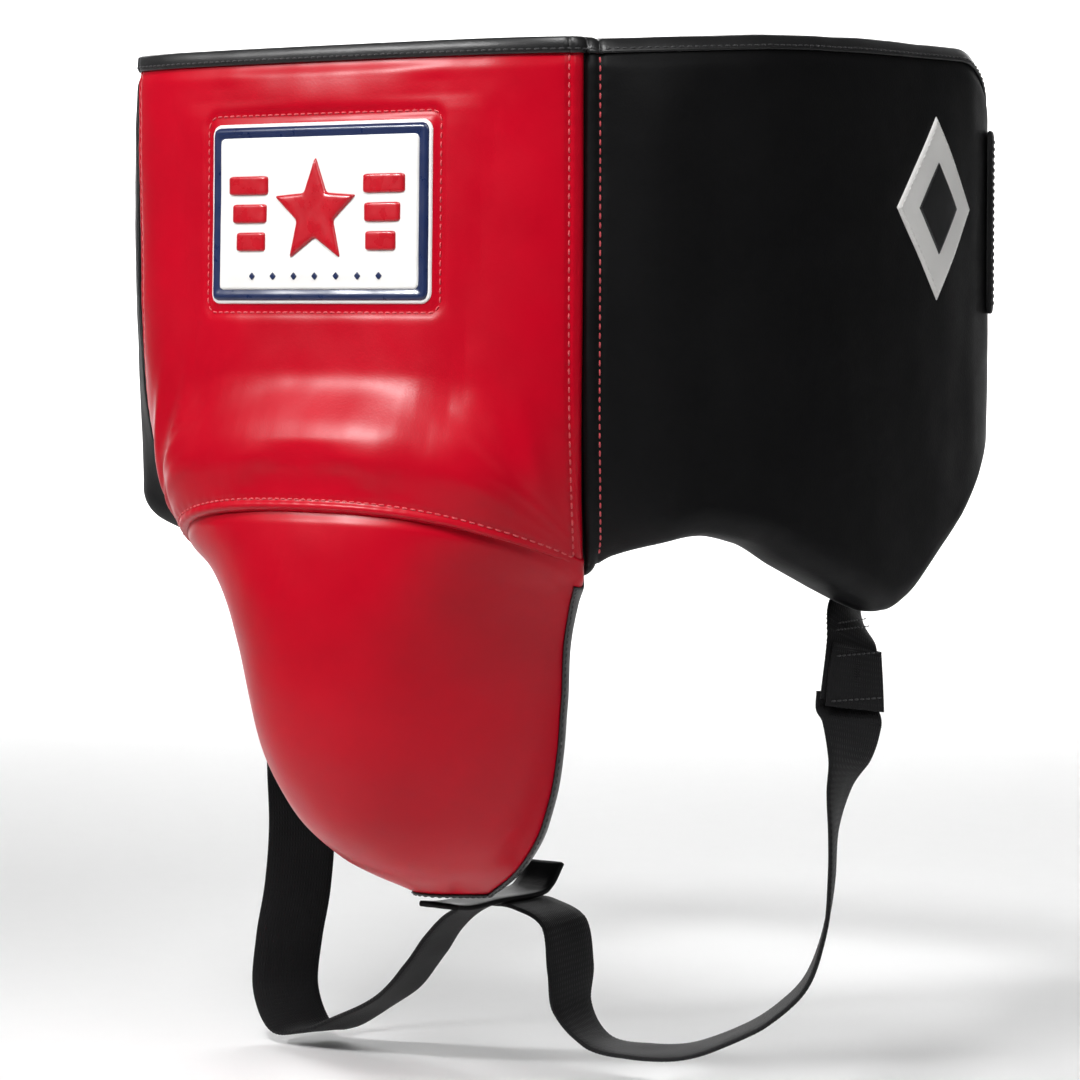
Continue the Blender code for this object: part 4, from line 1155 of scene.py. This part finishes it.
for hand, side in (("left", 1), ("right", -1)):
    diamond("hip_diamond_" + hand, hand, side, PATCH_HALF, 0.0, 0.0011, WHITE, "hip_patch_" + hand)
    diamond("hip_diamond_inlay_" + hand, hand, side, (PATCH_HALF[0] * 0.5, PATCH_HALF[1] * 0.5),
            0.0011, 0.0008, BLACK_VINYL, "hip_patch_inlay_" + hand)
    ts = np.linspace(-0.93, 0.93, 60)
    one = np.full(60, 0.93)
    p = np.concatenate([ts, one, -ts, -one])
    q = np.concatenate([-one, ts, one, -ts])
    s = PATCH_S + (p - q) / 2 * PATCH_HALF[0]
    z = PATCH_Z + (p + q) / 2 * PATCH_HALF[1]
    points, normals = on_hip(hips[hand], s, z)
    row = stitches("hip_diamond_stitches_" + hand, points + normals * 0.0011, normals, WHITE_THREAD,
                   pitch=0.0030, radius=0.00028)
    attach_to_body(row, "hip_" + hand)


# ------------------------------------------------------------------ straps
def band_sections(centres, widths, width, thickness, ripple=0.0, seed=0.0):
    """Rings for a flat woven band with soft selvedges."""
    ahead = unit(np.gradient(centres, axis=0))
    wide = unit(widths - ahead * (widths * ahead).sum(-1, keepdims=True))
    thick = np.cross(ahead, wide)
    run = lengths(centres)
    across = np.array([-1, -0.985, -0.94, -0.6, -0.2, 0.2, 0.6, 0.94, 0.985, 1])
    profile = np.array([0.0, 0.62, 0.95, 1.0, 1.0, 1.0, 1.0, 0.95, 0.62, 0.0])
    half, t = width / 2, thickness / 2
    wave = ripple * np.array([[noise.noise(Vector((r * 40, a * 1.5, seed))) for a in across]
                              for r in run])
    upper = [centres + wide * half * a + thick * (t * p + wave[:, k])[:, None]
             for k, (a, p) in enumerate(zip(across, profile))]
    lower = [centres + wide * half * a - thick * (t * p - wave[:, k])[:, None]
             for k, (a, p) in list(enumerate(zip(across, profile)))[-2:0:-1]]
    return np.stack(upper + lower, 1)


def resampled(points, step):
    run = lengths(points)
    count = max(int(run[-1] / step), 4)
    at = np.linspace(0, run[-1], count)
    return np.stack([np.interp(at, run, points[:, k]) for k in range(points.shape[1])], -1)


def attach(obj, body, node=None):
    if isinstance(body, str):
        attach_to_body(obj, body)
    else:
        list(body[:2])
        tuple(body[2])
        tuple(body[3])
        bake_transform(obj)
    if node:
        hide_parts(node)
    return obj


STRAP_Z = 0.003
STRAP_HEIGHT = 0.080
ELASTIC_THICKNESS = 0.0022
HOOK_THICKNESS = 0.0012
CLOSURE_Y = -0.104
CLOSURE_RADIUS = 0.2815
SMALL_GAP = 0.0003


def closure_arc(angle, radius):
    return (radius * math.sin(angle), CLOSURE_Y + radius * math.cos(angle))


def back_path(inset):
    start = [plan_xy(s) - plan_inward(s) * (0.0006 + ELASTIC_THICKNESS / 2)
             for s in (0.370, 0.382)]
    bend = [(0.1520, 0.1480), (0.1370, 0.1556), (0.1130, 0.1622 - inset * 0.3),
            (0.0830, 0.1672 - inset)]
    arc = [closure_arc(angle, CLOSURE_RADIUS - inset) for angle in np.linspace(0.19, -0.20, 7)]
    return spline([tuple(p) for p in start] + bend + arc, 16)


def upright(name, path, side, height, thickness, finish, body, node, ripple=0.0):
    centres = np.stack([side * path[:, 0], path[:, 1], np.full(len(path), STRAP_Z)], -1)
    centres = resampled(centres, 0.0022)
    widths = np.broadcast_to(np.array([0.0, 0.0, 1.0]), centres.shape)
    made = sweep(name, band_sections(centres, widths, height, thickness, ripple, side), finish)
    return attach(made, body, node), centres


step = ELASTIC_THICKNESS + 3 * SMALL_GAP + 2 * HOOK_THICKNESS
for hand, side, inset in (("left", 1, 0.0), ("right", -1, step)):
    body = ("hip_" + hand, "closure_" + hand, mirrored((0.1700, 0.1120, 0.0), side),
            mirrored((0.1500, 0.1490, 0.0), side))
    _, line = upright("back_elastic_" + hand, back_path(inset), side, STRAP_HEIGHT,
                      ELASTIC_THICKNESS, ELASTIC, body, "back_strap_" + hand, 0.0005)
    sewn_path = line[lengths(line) < 0.016]
    outward = unit(np.stack([sewn_path[:, 0], sewn_path[:, 1], np.zeros(len(sewn_path))], -1))
    face = sewn_path + outward * (ELASTIC_THICKNESS / 2 + 0.0001)
    zs = np.linspace(-0.92, 0.92, 70) * STRAP_HEIGHT / 2
    for k, at in enumerate((1, -2)):
        rise = np.stack([np.zeros(70), np.zeros(70), zs], -1)
        row = stitches(f"back_elastic_stitches_{hand}_{k + 1}", face[at] + rise,
                       np.broadcast_to(outward[at], rise.shape), BLACK_THREAD, pitch=0.003)
        attach(row, body)

offset = ELASTIC_THICKNESS / 2 + SMALL_GAP + HOOK_THICKNESS / 2
patch_angles = np.linspace(0.125, -0.20, 40)
hook = np.array([closure_arc(a, CLOSURE_RADIUS - offset) for a in patch_angles])
upright("hook_field", hook, 1, STRAP_HEIGHT - 0.008, HOOK_THICKNESS, PILE, "closure_left",
        "hook_patch")
loop = np.array([closure_arc(a, CLOSURE_RADIUS - step + offset) for a in patch_angles])
upright("loop_field", loop, -1, STRAP_HEIGHT - 0.008, HOOK_THICKNESS, PILE, "closure_right",
        "loop_patch")
tab_start = -0.20 - 2 * SMALL_GAP / CLOSURE_RADIUS
tab = np.array([closure_arc(a, CLOSURE_RADIUS)
                for a in np.linspace(tab_start + 0.006, tab_start - 0.022 / CLOSURE_RADIUS, 12)])
_, tab_line = upright("back_pull_tab", tab, 1, STRAP_HEIGHT * 0.7, ELASTIC_THICKNESS + 0.0008, BLACK,
                      "closure_left", "pull_tab")
zs = np.linspace(-0.9, 0.9, 60) * STRAP_HEIGHT * 0.35
tab_normal = unit(np.array([[tab_line[2, 0], tab_line[2, 1] - CLOSURE_Y, 0.0]]))
rise = np.stack([np.zeros(60), np.zeros(60), zs], -1)
attach(stitches("pull_tab_stitches", tab_line[2] + rise + tab_normal * 0.0016,
                np.broadcast_to(tab_normal, rise.shape), BLACK_THREAD, pitch=0.003),
       "closure_left")

# Crotch tab and leg straps
LEG_WIDTH = 0.032
LEG_THICKNESS = 0.0020
FLAP_THICKNESS = 0.0016
LEG_LEFT = [((0.0010, 0.003, -0.2960), 90), ((0.0130, 0.003, -0.2968), 90),
            ((0.0285, 0.004, -0.3035), 90), ((0.0312, 0.006, -0.3235), 90),
            ((0.0308, 0.008, -0.3415), 97), ((0.0420, 0.011, -0.3555), 108),
            ((0.0640, 0.013, -0.3578), 116), ((0.0870, 0.015, -0.3555), 120),
            ((0.1100, 0.017, -0.3470), 122), ((0.1310, 0.019, -0.3350), 124),
            ((0.1460, 0.021, -0.3200), 125), ((0.1535, 0.023, -0.3000), 123),
            ((0.1560, 0.025, -0.2780), 121), ((0.1563, 0.026, -0.2560), 119),
            ((0.1575, 0.028, -0.2390), 107), ((0.1608, 0.0302, -0.2250), 91),
            ((0.1600, 0.0335, -0.2110), 77), ((0.1558, 0.0364, -0.2035), 71),
            ((0.1553, 0.0368, -0.1965), 72)]
LEG_RIGHT = [((-0.0010, 0.003, -0.2960), 90), ((-0.0120, 0.003, -0.2972), 92),
             ((-0.0270, 0.004, -0.3035), 96), ((-0.0400, 0.005, -0.3140), 98),
             ((-0.0525, 0.007, -0.3275), 98), ((-0.0715, 0.011, -0.3440), 94),
             ((-0.0960, 0.016, -0.3570), 86), ((-0.1200, 0.019, -0.3675), 74),
             ((-0.1400, 0.022, -0.3690), 64), ((-0.1530, 0.026, -0.3530), 58),
             ((-0.1535, 0.029, -0.3300), 56), ((-0.1505, 0.032, -0.3050), 54),
             ((-0.1500, 0.034, -0.2750), 58), ((-0.1550, 0.035, -0.2450), 78),
             ((-0.1590, 0.0345, -0.2200), 98), ((-0.1558, 0.0364, -0.2035), 109),
             ((-0.1553, 0.0368, -0.1965), 108)]
ANCHOR = [((0.1466, 0.0520, -0.1480), 108), ((0.1482, 0.0490, -0.1622), 108),
          ((0.1558, 0.0400, -0.1770), 86), ((0.1583, 0.0355, -0.2010), 71)]
FLAP = [((0.1560, 0.0397, -0.1785), 84), ((0.1570, 0.0376, -0.1905), 77),
        ((0.1584, 0.0353, -0.2045), 71)]


def leg_line(points, side=1):
    line = spline([mirrored(p, side) for p, _ in points], 12)
    angles = spline([(a if side > 0 else 180 - a, 0.0, 0.0) for _, a in points], 12)[:, 0]
    both = resampled(np.concatenate([line, angles[:, None]], 1), 0.0022)
    turn = np.radians(both[:, 3])
    return both[:, :3], np.stack([np.cos(turn), np.sin(turn), np.zeros(len(turn))], -1)


def cross_rows(name, centres, widths, at, thickness, width, body, side):
    """Rows of stitches across a band, on its outer face."""
    ahead = unit(np.gradient(centres, axis=0))
    normal = unit(np.cross(ahead, widths))
    normal = normal * np.sign((normal * np.array([side, 0, 0])).sum(-1))[:, None]
    run = lengths(centres)
    for k, where in enumerate(at):
        i = int(np.searchsorted(run, where))
        span = np.linspace(-0.9, 0.9, 24)[:, None] * widths[i] * width / 2
        row = stitches(f"{name}_{k + 1}", centres[i] + span + normal[i] * (thickness / 2 + 0.0001),
                       np.broadcast_to(normal[i], span.shape), BLACK_THREAD, pitch=0.0028,
                       radius=0.00034)
        attach(row, body)


for hand, side, route in (("left", 1, LEG_LEFT), ("right", -1, LEG_RIGHT)):
    swing = ("front", "hip_" + hand, mirrored((0.02, 0.0, -0.300), side),
             mirrored((0.156, 0.035, -0.208), side))
    centres, widths = leg_line(route)
    made = sweep("leg_webbing_" + hand, band_sections(centres, widths, LEG_WIDTH, LEG_THICKNESS,
                                                      0.0006, 3.0 * side), ELASTIC)
    attach(made, swing, "leg_strap_" + hand)
    centres, widths = leg_line(ANCHOR, side)
    made = sweep("leg_anchor_webbing_" + hand, band_sections(centres, widths, LEG_WIDTH,
                                                             LEG_THICKNESS, 0.0003), ELASTIC)
    attach(made, "hip_" + hand, "leg_anchor_" + hand)
    cross_rows("leg_anchor_stitches_" + hand, centres, widths, (0.0225, 0.0265), LEG_THICKNESS,
               LEG_WIDTH, "hip_" + hand, side)
    centres, widths = leg_line(FLAP, side)
    ahead = unit(np.gradient(centres, axis=0))
    wide = unit(widths - ahead * (widths * ahead).sum(-1, keepdims=True))
    centres = centres + np.cross(ahead, wide) * side * (LEG_THICKNESS / 2 + 4 * SMALL_GAP
                                                        + FLAP_THICKNESS / 2)
    made = sweep("leg_closure_flap_" + hand, band_sections(centres, widths, LEG_WIDTH - 0.001,
                                                           FLAP_THICKNESS, 0.0002), ELASTIC)
    attach(made, "flap_" + hand, "leg_flap_" + hand)
    cross_rows("leg_flap_stitches_" + hand, centres, widths, (0.003, 0.0225), FLAP_THICKNESS,
               LEG_WIDTH - 0.001, "flap_" + hand, side)

tab_line = spline([(0.0, -0.0480, -0.2927), (0.0, -0.0350, -0.2940), (0.0, -0.0150, -0.2934),
                   (0.0, 0.0110, -0.2932), (0.0, 0.0200, -0.2900), (0.0, 0.0275, -0.2815)], 8)
tab_wide = np.broadcast_to(np.array([1.0, 0.0, 0.0]), tab_line.shape)
attach(sweep("crotch_tab_leather", band_sections(tab_line, tab_wide, 0.021, 0.0026, 0.0003), BLACK),
       "front", "crotch_tab")


# ------------------------------------------------------------------ studio
FLOOR_Z = -0.3760
mesh = bpy.data.meshes.new("studio_sweep")
profile = [(-6.0, 0.0)] + [(3.0 + 1.5 * math.sin(a), 1.5 - 1.5 * math.cos(a))
                           for a in np.linspace(0, math.pi / 2, 24)] + [(4.5, 6.0)]
view_dir = Vector((-0.6157, 0.7880, 0.0))
side_dir = Vector((0.7880, 0.6157, 0.0))
verts = []
for distance, rise in profile:
    for reach in (-9.0, 9.0):
        verts.append(view_dir * distance + side_dir * reach + Vector((0, 0, FLOOR_Z + rise)))
mesh.from_pydata([tuple(v) for v in verts], [],
                 [(2 * k, 2 * k + 1, 2 * k + 3, 2 * k + 2) for k in range(len(profile) - 1)])
mesh.shade_smooth()
mesh.materials.append(studio_floor("studio_white"))
floor = bpy.data.objects.new("studio_sweep", mesh)
bpy.context.scene.collection.objects.link(floor)


def area_light(name, location, target, size, power, size_y=None, spread=180.0):
    data = bpy.data.lights.new(name, "AREA")
    data.energy = power
    data.shape = "RECTANGLE"
    data.size = size
    data.size_y = size_y or size
    data.spread = math.radians(spread)
    obj = bpy.data.objects.new(name, data)
    bpy.context.scene.collection.objects.link(obj)
    obj.location = location
    direction = Vector(target) - Vector(location)
    obj.rotation_euler = direction.to_track_quat("-Z", "Y").to_euler()
    return obj


area_light("key", (0.45, -1.35, 1.60), (0.0, -0.05, -0.02), 0.70, 2.7, 0.45, 50.0)
area_light("glint", (-1.02, -1.52, 0.86), (0.04, -0.13, -0.08), 0.42, 1.35, 0.14, 40.0)
area_light("fill", (1.9, -1.2, 1.5), (0.05, 0.0, 0.0), 0.9, 1.9, 0.8, 60.0)
area_light("rim", (2.0, 0.2, 0.9), (0.1, 0.0, 0.0), 0.7, 1.0)
area_light("rear", (-1.3, 2.2, 1.5), (0.0, 0.10, -0.05), 0.8, 1.6, 0.8, 60.0)
area_light("backdrop_left", (-3.0, 1.6, 1.7), (-2.6, 3.2, -0.2), 1.2, 78.0)
area_light("backdrop_right", (-0.6, 3.2, 1.7), (-2.0, 3.8, -0.2), 1.2, 78.0)

world = bpy.data.worlds.new("studio")
world.use_nodes = True
world.node_tree.nodes["Background"].inputs["Color"].default_value = (1.0, 1.0, 1.0, 1.0)
world.node_tree.nodes["Background"].inputs["Strength"].default_value = 0.07
scene = bpy.context.scene
scene.world = world
scene.view_settings.view_transform = "Standard"

camera_data = bpy.data.cameras.new("camera")
camera_data.lens = 143.8
camera_data.sensor_width = 36.0
camera_data.clip_start = 0.05
camera_data.clip_end = 60.0
camera = bpy.data.objects.new("camera", camera_data)
scene.collection.objects.link(camera)
camera.location = (1.178, -1.484, -0.031)
camera.rotation_mode = "QUATERNION"
camera.rotation_quaternion = Vector((-0.6147, 0.7868, -0.0555)).to_track_quat("-Z", "Y")
scene.camera = camera
